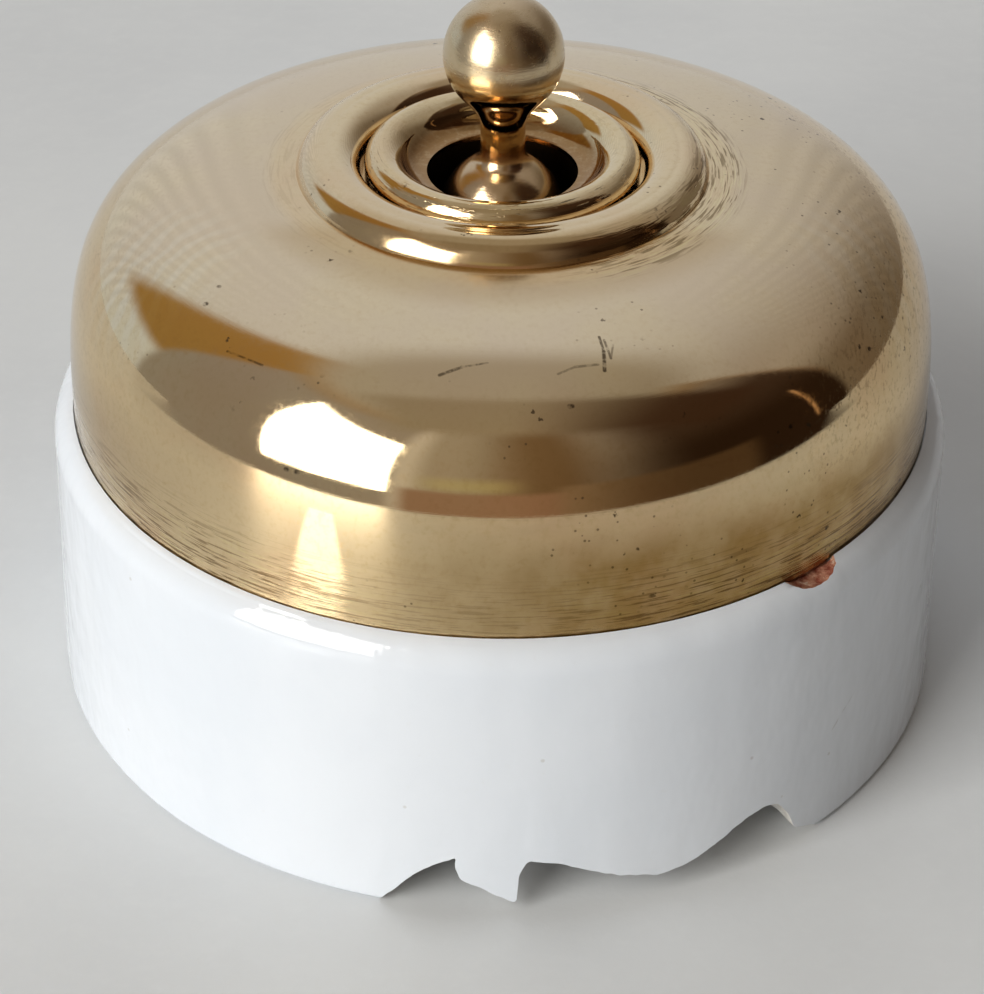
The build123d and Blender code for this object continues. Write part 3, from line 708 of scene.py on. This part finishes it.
def make_cover():
    """The spun dome with its rolled bead, recessed seat and thin wall."""
    rim = cover_high[0]
    bottom = cover_low[2]
    crest_z = cover_high[2]
    sheet = 0.8 * MM
    flange = 0.6 * MM
    rim_z = bottom + 0.5 * MM
    dome_top = (14.1 * MM, crest_z - 1.5 * MM)
    crest = (12.0 * MM, crest_z)
    recess = 9.7 * MM
    seat_z = crest_z - 3.05 * MM
    seat_hole = 7.2 * MM
    lip_round = 0.3 * MM
    upright_handle = 12.0 * MM
    level_handle = 15.0 * MM
    slope = 0.08

    def dome(inset, steps):
        first = upright_handle * (1 - inset / (dome_top[1] - rim_z))
        last = level_handle * (1 - inset / (rim - dome_top[0]))
        end = (dome_top[0], dome_top[1] - inset)
        return bezier(
            (rim - inset, rim_z), (rim - inset, rim_z + first),
            (end[0] + last * cos(slope), end[1] - last * sin(slope)), end, steps)

    inner = rim - sheet
    outline = dome(0, 110)
    bead_in = (recess, crest_z - 1.45 * MM)
    bead_outside = (13.4 * MM, crest_z - 0.4 * MM)
    bead_inside = (10.4 * MM, crest_z - 0.4 * MM)
    under_bead = (recess + sheet, bead_in[1] - 0.4 * MM)
    under_crest = (crest[0], crest_z - sheet)
    hollow_end = (13.5 * MM, crest_z - 1.95 * MM)
    profile = arc((rim - lip_round, bottom + lip_round), lip_round, -90, 0, 6)
    profile += straight((rim, bottom + lip_round), (rim, rim_z), 3)
    profile += outline
    profile += through(dome_top, bead_outside, crest, 22)
    profile += through(crest, bead_inside, bead_in, 26)
    profile += runs([
        (bead_in, 4), ((recess, seat_z), 4), ((seat_hole, seat_z), 2),
        ((seat_hole, seat_z - flange), 4), ((recess + sheet, seat_z - flange), 3)], under_bead)
    profile += through(under_bead, (11.1 * MM, crest_z - 1.1 * MM), under_crest, 8)
    profile += through(under_crest, (12.9 * MM, crest_z - 1.15 * MM), hollow_end, 8)
    profile += straight(hollow_end, (dome_top[0], dome_top[1] - sheet), 2)
    profile += dome(sheet, 60)[::-1]
    profile += [(inner, bottom + 0.2 * MM), (inner + 0.2 * MM, bottom)]
    obj = new_object("cover_dome", lathe(profile, 288, dome_shift), 50.0)
    marks = [
        (under_dome(outline, start), under_dome(outline, end), width, strength)
        for start, end, width, strength in SCRATCHES
    ]
    finish_piece(obj, "switch_body", "brass_cover", [dome_material(marks)])


def make_ring():
    """The ring nut: a rounded crest, a dished bowl and the hole for the dolly."""
    outer = ring_high[0]
    bottom = ring_low[2]
    crest_z = ring_high[2]
    crest = (8.3 * MM, crest_z)
    lip = (6.9 * MM, crest_z - 0.85 * MM)
    wall_top = (outer, crest_z - 1.35 * MM)
    hole = (5.17 * MM, crest_z - 1.95 * MM)
    web_z = crest_z - 2.25 * MM
    bore = 7.0 * MM
    profile = straight((outer, bottom), wall_top, 6)
    profile += through(wall_top, (9.08 * MM, crest_z - 0.4 * MM), crest, 20)
    profile += through(crest, (7.65 * MM, crest_z - 0.2 * MM), lip, 16)
    profile += through(lip, (6.3 * MM, crest_z - 1.6 * MM), hole, 24)
    profile += runs([
        (hole, 3), ((hole[0], web_z), 4), ((bore, web_z), 4), ((bore, bottom), 4)],
        (outer, bottom))
    obj = new_object("cover_ring_nut", lathe(profile, 240), 40.0)
    finish_piece(obj, "switch_body", "cover_ring", [ring_material()])


def make_dolly():
    """The lever: ball knob, slim neck, round root and hollow tail, drilled across for its pin."""
    top = dolly_high[2]
    bottom = dolly_low[2]
    knob = 4.06 * MM
    knob_z = top - knob
    below = 30.0
    rise = 60.0
    neck = 1.53 * MM
    neck_top = 41.6 * MM
    neck_bottom = 40.5 * MM
    root = max(dolly_high[0], dolly_high[1])
    root_z = 35.25 * MM
    tail = 2.9 * MM
    bore = 1.9 * MM
    bore_top = pin_low[2] - 0.7 * MM
    waist_handle = 1.3 * MM
    neck_handle = 1.5 * MM
    flare_handle = 0.7 * MM
    pin_clearance = 0.05 * MM
    down = radians(below)
    waist = (knob * cos(down), knob_z - knob * sin(down))
    bend = (waist[0] - waist_handle * sin(down), waist[1] - waist_handle * cos(down))
    up = radians(rise)
    flare = (root * cos(up), root_z + root * sin(up))
    flare_bend = (flare[0] - flare_handle * sin(up), flare[1] + flare_handle * cos(up))
    tail_top = root_z - sqrt(root ** 2 - tail ** 2)
    last = -degrees(asin((root_z - tail_top) / root))
    profile = [(0.0, top)]
    profile += arc((0, knob_z), knob, 90, -below, 72)[1:]
    profile += bezier(waist, bend, (neck, neck_top + neck_handle), (neck, neck_top), 30)
    profile += straight((neck, neck_top), (neck, neck_bottom), 4)
    profile += bezier(
        (neck, neck_bottom), (neck, neck_bottom - flare_handle), flare_bend, flare, 16)
    profile += arc((0, root_z), root, rise, last, 40)
    profile += runs(
        [((tail, tail_top), 8), ((tail, bottom), 2), ((bore, bottom), 6)], (bore, bore_top))
    profile += [(bore, bore_top), (0.0, bore_top)]
    obj = new_object("dolly_lever", lathe(profile, 160), 40.0)
    pin_z = (pin_low[2] + pin_high[2]) / 2
    pin_r = (pin_high[2] - pin_low[2]) / 2 + pin_clearance
    hole = cylinder_cutter("hole", 0, 0, (-6 * MM, 6 * MM), pin_r)
    hole.matrix_world = Matrix.Translation((0, 0, pin_z)) @ Matrix.Rotation(TURN / 4, 4, "Y")
    bpy.context.view_layer.update()
    material = dolly_material()
    obj.data.materials.append(material)
    cut(obj, [hole], 40.0)
    finish_piece(obj, "lever", "dolly", [material])


def make_spring():
    """Coil spring in the dolly's tail. The real spring shortens upwards as the plunger slides in;
    this one keeps one length.
    """
    low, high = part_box("dolly_spring")
    wire = 0.22 * MM
    coil = high[0] - wire
    turns = 4
    steps = 44 * turns
    sides = 12
    start_z = low[2] + wire
    rise = high[2] - low[2] - 2 * wire
    slope = atan2(rise, TURN * coil * turns)
    bm = bmesh.new()
    rings = []
    for i in range(steps + 1):
        angle = TURN * turns * i / steps
        outward = Vector((*polar(1.0, angle), 0.0))
        forward = Vector((-sin(angle) * cos(slope), cos(angle) * cos(slope), sin(slope)))
        upward = forward.cross(outward) * -1
        centre = outward * coil + Vector((0, 0, start_z + rise * i / steps))
        ring = []
        for k in range(sides):
            across, along = polar(wire, TURN * k / sides)
            ring.append(bm.verts.new(centre + outward * across + upward * along))
        rings.append(ring)
    obj = tube("lever_spring", bm, rings, 40.0)
    steel = plain_metal("spring_wire", *STEEL, 0.22)
    finish_piece(obj, "lever", "dolly_spring", [steel])
    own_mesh(obj)


# ---- porcelain piece

# Broken lower edge: angle from -Y towards +X in degrees, height in mm.
BROKEN_EDGE = [
    (-14.5, -0.3), (-11.5, 1.6), (-9.5, 2.9), (-7.0, 3.9), (-4.5, 4.6), (-4.7, 3.9),
    (-4.0, 2.7), (-1.9, 2.2), (0.3, 1.4), (2.6, 0.8), (2.9, 3.3), (3.9, 4.4),
    (8.0, 4.0), (12.0, 3.0), (15.0, 2.4), (20.0, 1.75), (24.0, 2.2), (28.0, 3.3),
    (31.5, 4.3), (34.5, 4.65), (36.5, 4.2), (38.0, 3.0), (39.2, 1.4), (42.0, 0.7), (45.0, -0.3),
]


def broken_edge_cutter(material):
    """Closed body under the broken edge, with an uneven fracture surface."""
    fine = []
    for (a0, z0), (a1, z1) in zip(BROKEN_EDGE, BROKEN_EDGE[1:]):
        pieces = max(2, int(hypot((a1 - a0) * 0.57, z1 - z0) / 0.22))
        for i in range(pieces):
            fine.append((a0 + (a1 - a0) * i / pieces, z0 + (z1 - z0) * i / pieces))
    fine.append(BROKEN_EDGE[-1])
    smooth = []
    for i in range(len(fine)):
        near = fine[max(0, i - 1):i + 2]
        smooth.append((sum(p[0] for p in near) / len(near), sum(p[1] for p in near) / len(near)))
    inner = 26.0 * MM
    outer = 35.0 * MM
    layers = 26
    bm = bmesh.new()
    sheets = []
    for layer in range(layers + 1):
        r = inner + (outer - inner) * layer / layers
        sheet = []
        for angle_deg, height in smooth:
            rough = noise.noise(Vector((angle_deg * 0.9, height * 1.2, r * 1100)))
            scoop = noise.noise(Vector((angle_deg * 0.22, 4.0, r * 420)))
            depth = max(0.0, (32.4 * MM - r) / MM)
            z = (height + 0.10 * rough + (0.35 * scoop + 0.12) * min(depth, 2.0)) * MM
            sheet.append(bm.verts.new((*polar(r, radians(angle_deg - 90)), z)))
        low = -1.5 * MM
        first, last = smooth[0][0], smooth[-1][0]
        count = len(smooth)
        under = []
        for i in range(count):
            a = radians(first + (last - first) * i / (count - 1) - 90)
            under.append(bm.verts.new((*polar(r, a), low)))
        sheets.append((sheet, under))
    for (top_a, low_a), (top_b, low_b) in zip(sheets, sheets[1:]):
        for i in range(count - 1):
            bm.faces.new((top_a[i], top_a[i + 1], top_b[i + 1], top_b[i]))
            bm.faces.new((low_a[i], low_b[i], low_b[i + 1], low_a[i + 1]))
        bm.faces.new((top_a[0], top_b[0], low_b[0], low_a[0]))
        bm.faces.new((top_a[-1], low_a[-1], low_b[-1], top_b[-1]))
    for top, under in (sheets[0], sheets[-1]):
        for i in range(count - 1):
            bm.faces.new((top[i], under[i], under[i + 1], top[i + 1]))
    obj = new_object("entry_cutter", bm)
    obj.data.materials.append(material)
    return obj


def recess_cutter(material):
    """Shallow pocket behind the cable entries, where the skirt is thin enough to break out."""
    first, last, steps = -16.0, 46.0, 96
    inner = 27.2 * MM
    outer = 30.2 * MM
    top = 5.0 * MM
    low = -1.0 * MM
    bm = bmesh.new()
    sections = []
    for i in range(steps + 1):
        a = radians(first + (last - first) * i / steps - 90)
        corners = ((inner, low), (outer, low), (outer, top), (inner, top))
        sections.append([bm.verts.new((*polar(r, a), z)) for r, z in corners])
    obj = tube("recess_cutter", bm, sections)
    obj.data.materials.append(material)
    return obj


def chip_cutter(material):
    """Uneven ball that knocks a long shallow chip out of the rim beside the cover."""
    angle = radians(42.0 - 90)
    radius = 4.1 * MM
    distance = 30.9 * MM
    centre = Vector((*polar(distance, angle), 24.95 * MM))
    bm = bmesh.new()
    bmesh.ops.create_icosphere(bm, subdivisions=7, radius=radius)
    for v in bm.verts:
        lumps = 0.020 * noise.noise(v.co * 900) + 0.014 * noise.noise(v.co * 2600)
        v.co *= 1 + lumps
        v.co += centre
    obj = new_object("chip_cutter", bm)
    obj.data.materials.append(material)
    return obj


def base_shift(angle, radius, height):
    """Hand-made unevenness of the glazed wall."""
    place = Vector((cos(angle) * 1.3, sin(angle) * 1.3, height * 60))
    soft = noise.noise(place) + 0.4 * noise.noise(place * 2.7)
    if radius < 31.0 * MM:
        return 0.0, 0.0
    ripple = noise.noise(Vector((cos(angle) * 13, sin(angle) * 13, height * 420)))
    ripple += 0.6 * noise.noise(Vector((cos(angle) * 29, sin(angle) * 29, height * 900)))
    shoulder = 1 if height > 0.018 else 0
    return 0.00010 * soft + 0.000018 * ripple, (0.00005 * soft + 0.000018 * ripple) * shoulder


def make_base():
    """Hollow glazed base: deck, well, shoulder and rebate, with every hole and break cut out."""
    foot = base_high[0]
    shoulder = 32.0 * MM
    shoulder_z = 19.5 * MM
    round_r = 2.2 * MM
    rebate = 30.55 * MM
    ledge = cover_low[2]
    well = 28.6 * MM
    deck_top = 11.5 * MM
    deck_low = 5.5 * MM
    hollow = 28.2 * MM
    foot_round = 0.6 * MM
    soft = 0.35 * MM
    middle = 2 * MM
    centre = (shoulder - round_r, shoulder_z)
    rebate_deg = degrees(acos((rebate - centre[0]) / round_r))
    rebate_top = shoulder_z + round_r * sin(radians(rebate_deg))
    profile = [(0.0, deck_low)]
    profile += straight((middle, deck_low), (hollow - soft, deck_low), 10)
    profile += arc((hollow - soft, deck_low - soft), soft, 90, 0, 5)
    profile += straight((hollow, deck_low - soft), (hollow, soft), 6)
    profile += arc((hollow + soft, soft), soft, 180, 270, 5)
    profile += straight((hollow + soft, 0.0), (foot - foot_round, 0.0), 6)
    profile += arc((foot - foot_round, foot_round), foot_round, -90, 0, 8)
    profile += straight((foot, foot_round), (shoulder, shoulder_z), 44)
    profile += arc(centre, round_r, 0, rebate_deg, 20)
    profile += runs([((rebate, rebate_top), 4), ((rebate, ledge), 4)], (well + soft, ledge))
    profile += arc((well + soft, ledge - soft), soft, 90, 180, 5)
    profile += straight((well, ledge - soft), (well, deck_top + soft), 8)
    profile += arc((well - soft, deck_top + soft), soft, 0, -90, 5)
    profile += straight((well - soft, deck_top), (middle, deck_top), 10)
    profile += [(0.0, deck_top)]
    obj = new_object("porcelain_body", lathe(profile, 320, base_shift), 40.0)
    glaze = glaze_material()
    obj.data.materials.append(glaze)

    past = 1 * MM
    below = deck_low - past
    above = deck_top + past
    boss_r = 5.2 * MM
    boss_top = deck_top + 1.5 * MM
    sink_r = 4.2 * MM
    sink_depth = 2.0 * MM
    bosses = []
    plain = []

    def drill(x, y, z_range, radius, radius_top=None):
        plain.append(cylinder_cutter("hole", x, y, z_range, radius, radius_top))

    for mount in frame["record"]["mounts"]:
        if mount["kind"] == "bolt_pattern":
            half = mount["dims"]["spacing_y_mm"] * MM / 2
            radius = mount["dims"]["hole_r_mm"] * MM
            wide = sink_r + (sink_r - radius) / sink_depth * past
            for y in (-half, half):
                boss = (deck_top - past / 2, boss_top)
                bosses.append(cylinder_cutter("boss", 0, y, boss, boss_r))
                drill(0, y, (below, boss_top + past), radius)
                drill(0, y, (boss_top - sink_depth, boss_top + past), radius, wide)
        if mount["name"].endswith("cable_hole"):
            x, y = mount["pos_m"][:2]
            drill(x, y, (below, above), mount["dims"]["r_mm"] * MM)
    plug_low, plug_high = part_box("sealing_plugs")
    plug_r = (plug_high[1] - plug_low[1]) / 2
    plug_x = plug_high[0] - plug_r
    plug_y = (plug_high[1] + plug_low[1]) / 2
    plug_hole = 3.0 * MM
    plug_top = 8.6 * MM
    terminal_hole = 1.6 * MM
    frame_hole = 1.7 * MM
    nut_half = 2.8 * MM
    nut_x = 14.2 * MM
    nut_top = 8.0 * MM
    for side in (-1, 1):
        drill(side * plug_x, plug_y, (below, plug_top), plug_hole)
        drill(side * plug_x, plug_y, (nut_top, above), terminal_hole)
        x = side * nut_x
        plain.append(box_cutter(
            "nut_recess", (x - nut_half, x + nut_half), (-nut_half, nut_half), (below, nut_top)))
        drill(x, 0, (nut_top - past, above), frame_hole)
    for tool in bosses + plain:
        tool.data.materials.append(glaze)

    dimmer = fibre_material("dusty_hollow", (0.40, 0.36, 0.29), (0.25, 0.21, 0.16), 0.7)
    breaks = [
        recess_cutter(dimmer), broken_edge_cutter(bisque_material()), chip_cutter(chip_material())]
    cut(obj, breaks + plain, 38.0, bosses)
    finish_piece(obj, "switch_body", "porcelain_base")


# ---- hidden pieces

BRASS = ((0.60, 0.43, 0.19), (0.30, 0.19, 0.08))
STEEL = ((0.42, 0.42, 0.43), (0.20, 0.18, 0.17))

# Slot: (material name, clean tone, dark tone, roughness).
METALS = {
    "plain_brass": ("brass_plain", *BRASS, 0.28),
    "contact_metal": ("copper_strip", (0.72, 0.36, 0.20), (0.34, 0.14, 0.07), 0.25),
    "steel_wire": ("spring_steel", *STEEL, 0.22),
    "polished_brass": ("brass_spare", (0.70, 0.52, 0.25), (0.35, 0.23, 0.10), 0.2),
}
FIBRES = {
    "insulating_fibre": ("moulded_fibre", (0.12, 0.05, 0.03), (0.05, 0.02, 0.014), 0.38),
    "lining_fibre": ("red_fibre", (0.33, 0.085, 0.05), (0.20, 0.05, 0.03), 0.6),
    "pitch": ("black_pitch", (0.018, 0.016, 0.014), (0.008, 0.007, 0.006), 0.25),
}


def paint_hidden_pieces():
    """Pieces under the cover keep their CAD meshes and take a worn metal or fibre look."""
    looks = {slot: plain_metal(*look) for slot, look in METALS.items()}
    looks.update({slot: fibre_material(*look) for slot, look in FIBRES.items()})
    looks["porcelain"] = bisque_material()
    bush_brass = plain_metal("brass_bush", *BRASS, 0.28, shaded_bore=6.5 * MM)
    slots = {part["node"]: part["material_slot"] for part in frame["record"]["subparts"]}
    for node, obj in frame["nodes"].items():
        material = bush_brass if node == "threaded_bush" else looks[slots[node]]
        for slot in obj.material_slots:
            slot.material = material


# ---- room, floor and camera

def make_world():
    """Soft room light given as broad areas of direction, in degrees round and above the object."""
    world = bpy.data.worlds.new("room")
    bpy.context.scene.world = world
    world.use_nodes = True
    g = Graph(world.node_tree)
    direction = g.node("TexCoord").outputs["Generated"]
    x, y, z = g.xyz(direction)
    azimuth = g.math("DEGREES", g.math("ARCTAN2", x, g.mul(y, -1.0)))
    elevation = g.math("DEGREES", g.math("ARCSINE", z))
    side = g.math("ABSOLUTE", azimuth)

    back = (0.60, 0.63, 0.67)
    ceiling = (0.37, 0.35, 0.31)
    left_wall = (0.300, 0.270, 0.245)
    middle = g.mix(g.step(azimuth, -14, 12), (0.33, 0.30, 0.255), (0.17, 0.12, 0.07))
    middle = g.mix(g.step(azimuth, -16, -27), middle, (0.60, 0.58, 0.56))
    right_dark = (0.080, 0.054, 0.040)
    panel = (0.325, 0.195, 0.062)
    low_dark = (0.27, 0.180, 0.130)
    low_light = (0.44, 0.41, 0.20)

    # Pleated curtains behind, seen as faint stripes on both sides.
    stripes = g.math("SINE", g.mul(azimuth, 1.9))
    stripe_zone = g.mul(g.band(side, 122, 165, 14), g.band(elevation, 5, 52, 14))
    back_shade = g.add(1.0, g.mul(g.mul(stripes, stripe_zone), 0.10))
    colour = g.vector("SCALE", back, scale=back_shade)

    # The front wall: an amber panel on its left, then a paler wall, its middle and a dark right.
    front = g.plateau(azimuth, -136, -128, 96, 101)
    front = g.mul(front, g.fall(elevation, 60, 78))
    colour = g.lay(colour, panel, front, g.step(elevation, 15, 24))
    upper_fade = g.fall(elevation, 56, 67)
    inner_front = g.plateau(azimuth, -106, -102, 96, 99)
    colour = g.lay(colour, left_wall, inner_front, upper_fade)
    centre_zone = g.plateau(azimuth, -30, -22, 16, 34)
    colour = g.lay(colour, middle, centre_zone, upper_fade)
    right_zone = g.plateau(azimuth, 22, 52, 96, 99)
    right_zone = g.mul(right_zone, g.fall(elevation, 44, 60))
    colour = g.mix(right_zone, colour, right_dark)

    # Low things in front: a glimmer, clutter, a thin lamp and a pale band to the right.
    glimmer = g.mul(g.band(azimuth, -18, 4, 12), g.band(elevation, 8, 17, 8))
    colour = g.lay(colour, low_light, glimmer, 0.50)
    clutter = g.mul(g.band(azimuth, -24, 20, 6), g.fall(elevation, 5, 9))
    colour = g.mix(clutter, colour, low_dark)
    lamp = g.mul(g.band(azimuth, 86.2, 87.2, 0.8), g.band(elevation, 3, 27, 5))
    colour = g.mix(lamp, colour, (1.7, 1.25, 0.85))
    low_band = g.mul(g.band(azimuth, 16, 66, 8), g.step(elevation, 13, 9))
    colour = g.mix(low_band, colour, (0.26, 0.20, 0.14))
    colour = g.mix(g.step(elevation, 58, 70), colour, ceiling)

    # The viewer's shadow leans overhead, up to the zenith.
    lift = g.math("DEGREES", g.math("ARCTAN2", z, g.mul(y, -1.0)))
    overhead = g.mul(g.step(lift, 91, 84), g.step(lift, 52, 64))
    overhead = g.mul(overhead, g.mul(g.step(x, -0.46, -0.26), g.step(x, 0.80, 0.68)))
    shadow = g.mix(g.step(x, 0.0, 0.52), (0.28, 0.245, 0.19), (0.075, 0.045, 0.030))
    colour = g.mix(overhead, colour, shadow)

    # The room is darker to the right and a little cooler to the left.
    colour = g.tint(colour, (0.56, 0.50, 0.44), g.step(x, 0.0, 0.65))
    low_right = g.mul(g.step(x, 0.25, 0.8), g.step(elevation, 45, 20))
    colour = g.tint(colour, (0.46, 0.41, 0.35), low_right)
    colour = g.tint(colour, (0.86, 0.93, 1.0), g.step(x, -0.3, -0.95))

    # One tall window to the left of the viewer.
    lean = g.add(azimuth, g.mul(elevation, 0.18))
    window = g.mul(g.step(lean, -60.5, -59), g.fall(azimuth, -28.5, -26.5))
    top_edge = g.add(elevation, g.mul(azimuth, 0.35))
    window = g.mul(window, g.fall(top_edge, 29, 33))
    window = g.mul(window, g.step(elevation, 1.5, 4))
    colour = g.mix(window, colour, (7.5, 7.4, 7.1))

    camera_ray = g.node("LightPath").outputs["Is Camera Ray"]
    colour = g.mix(camera_ray, colour, (0.72, 0.72, 0.715))
    background = g.node("Background", {"Color": colour, "Strength": 1.0})
    g.node("OutputWorld", {"Surface": background.outputs[0]})


def make_floor():
    """Plain pale floor to the camera, with a painted pool of light seen only in reflections. For
    reflections it ends a little way off, so the dome shows the wall.
    """
    bm = bmesh.new()
    bmesh.ops.create_circle(bm, cap_ends=True, radius=4.0, segments=128)
    floor = new_object("floor", bm)
    material, g, position = new_material("pale_floor")
    cloud = g.noise(position, 26.0, 5.0, 0.6)
    fine = g.noise(position, 420.0, 4.0, 0.65)
    colour = g.mix(g.step(cloud, 0.30, 0.72), (0.745, 0.765, 0.78), (0.69, 0.71, 0.73))
    colour = g.lay(colour, (0.80, 0.82, 0.83), g.step(fine, 0.4, 0.8), 0.25)
    shader = g.node("BsdfPrincipled", {
        "Base Color": colour, "Roughness": 0.32, "Specular IOR Level": 0.35,
        "Normal": g.bump(fine, 0.00008, 0.3)})
    glossy = g.node("LightPath").outputs["Is Glossy Ray"]
    reach = g.vector("LENGTH", position)
    far = g.mul(glossy, g.step(reach, 0.24, 0.30))
    _, y, _ = g.xyz(position)
    far = g.mul(far, g.fall(y, -0.05, 0.05))
    clear = g.node("BsdfTransparent")
    joined = g.node("MixShader", {0: far, 1: shader.outputs[0], 2: clear.outputs[0]})
    # Painted light: a strip of floor to the front left glows, seen only in reflections.
    light_pool_start = (-35 * MM, -49 * MM, 0.0)
    light_pool_end = (-84 * MM, -103 * MM, 0.0)
    light_pool = g.mul(glossy, patch_mask(g, position, light_pool_start, light_pool_end, 6.5 * MM))
    glow = g.node("Emission", {"Color": (1.0, 0.99, 0.97), "Strength": 2.4})
    lit = g.node("MixShader", {0: light_pool, 1: joined.outputs[0], 2: glow.outputs[0]})
    g.node("OutputMaterial", {"Surface": lit.outputs[0]})
    floor.data.materials.append(material)


def patch_mask(g, position, start, end, half_width):
    """One inside a straight strip on the floor."""
    a = Vector(start)
    along = Vector(end) - a
    offset = g.vector("SUBTRACT", position, tuple(a))
    share = g.mul(g.vector("DOT_PRODUCT", offset, tuple(along)), 1.0 / along.length_squared)
    across = Vector((-along.y, along.x, 0)).normalized()
    off = g.math("ABSOLUTE", g.vector("DOT_PRODUCT", offset, tuple(across)))
    inside = g.plateau(share, -0.05, 0.05, 0.95, 1.05)
    return g.mul(inside, g.step(off, half_width * 0.85, half_width * 1.1, 1.0, 0.0))


def make_camera():
    """Camera looking down at the front of the switch from close by, with a long lens."""
    distance_back = 164.78 * MM
    height = 125.74 * MM
    pitch = radians(37.787)
    yaw = radians(-0.139)
    roll = radians(0.572)
    data = bpy.data.cameras.new("camera")
    data.sensor_width = 36.0
    data.lens = 97.475
    data.shift_y = 0.14135
    data.clip_start = 0.01
    data.clip_end = 20.0
    camera = bpy.data.objects.new("camera", data)
    camera.location = (0.0, -distance_back, height)
    look = Euler((TURN / 4 - pitch, 0.0, -yaw), "XYZ").to_matrix()
    spin = Euler((0.0, 0.0, roll), "XYZ").to_matrix()
    camera.rotation_euler = (look @ spin).to_euler()
    bpy.context.scene.collection.objects.link(camera)
    bpy.context.scene.camera = camera


def main():
    """Builds every visible piece, then the room round it."""
    paint_hidden_pieces()
    make_cover()
    make_ring()
    make_dolly()
    make_spring()
    make_base()
    make_world()
    make_floor()
    make_camera()
    bpy.context.scene.view_settings.view_transform = "Standard"


main()
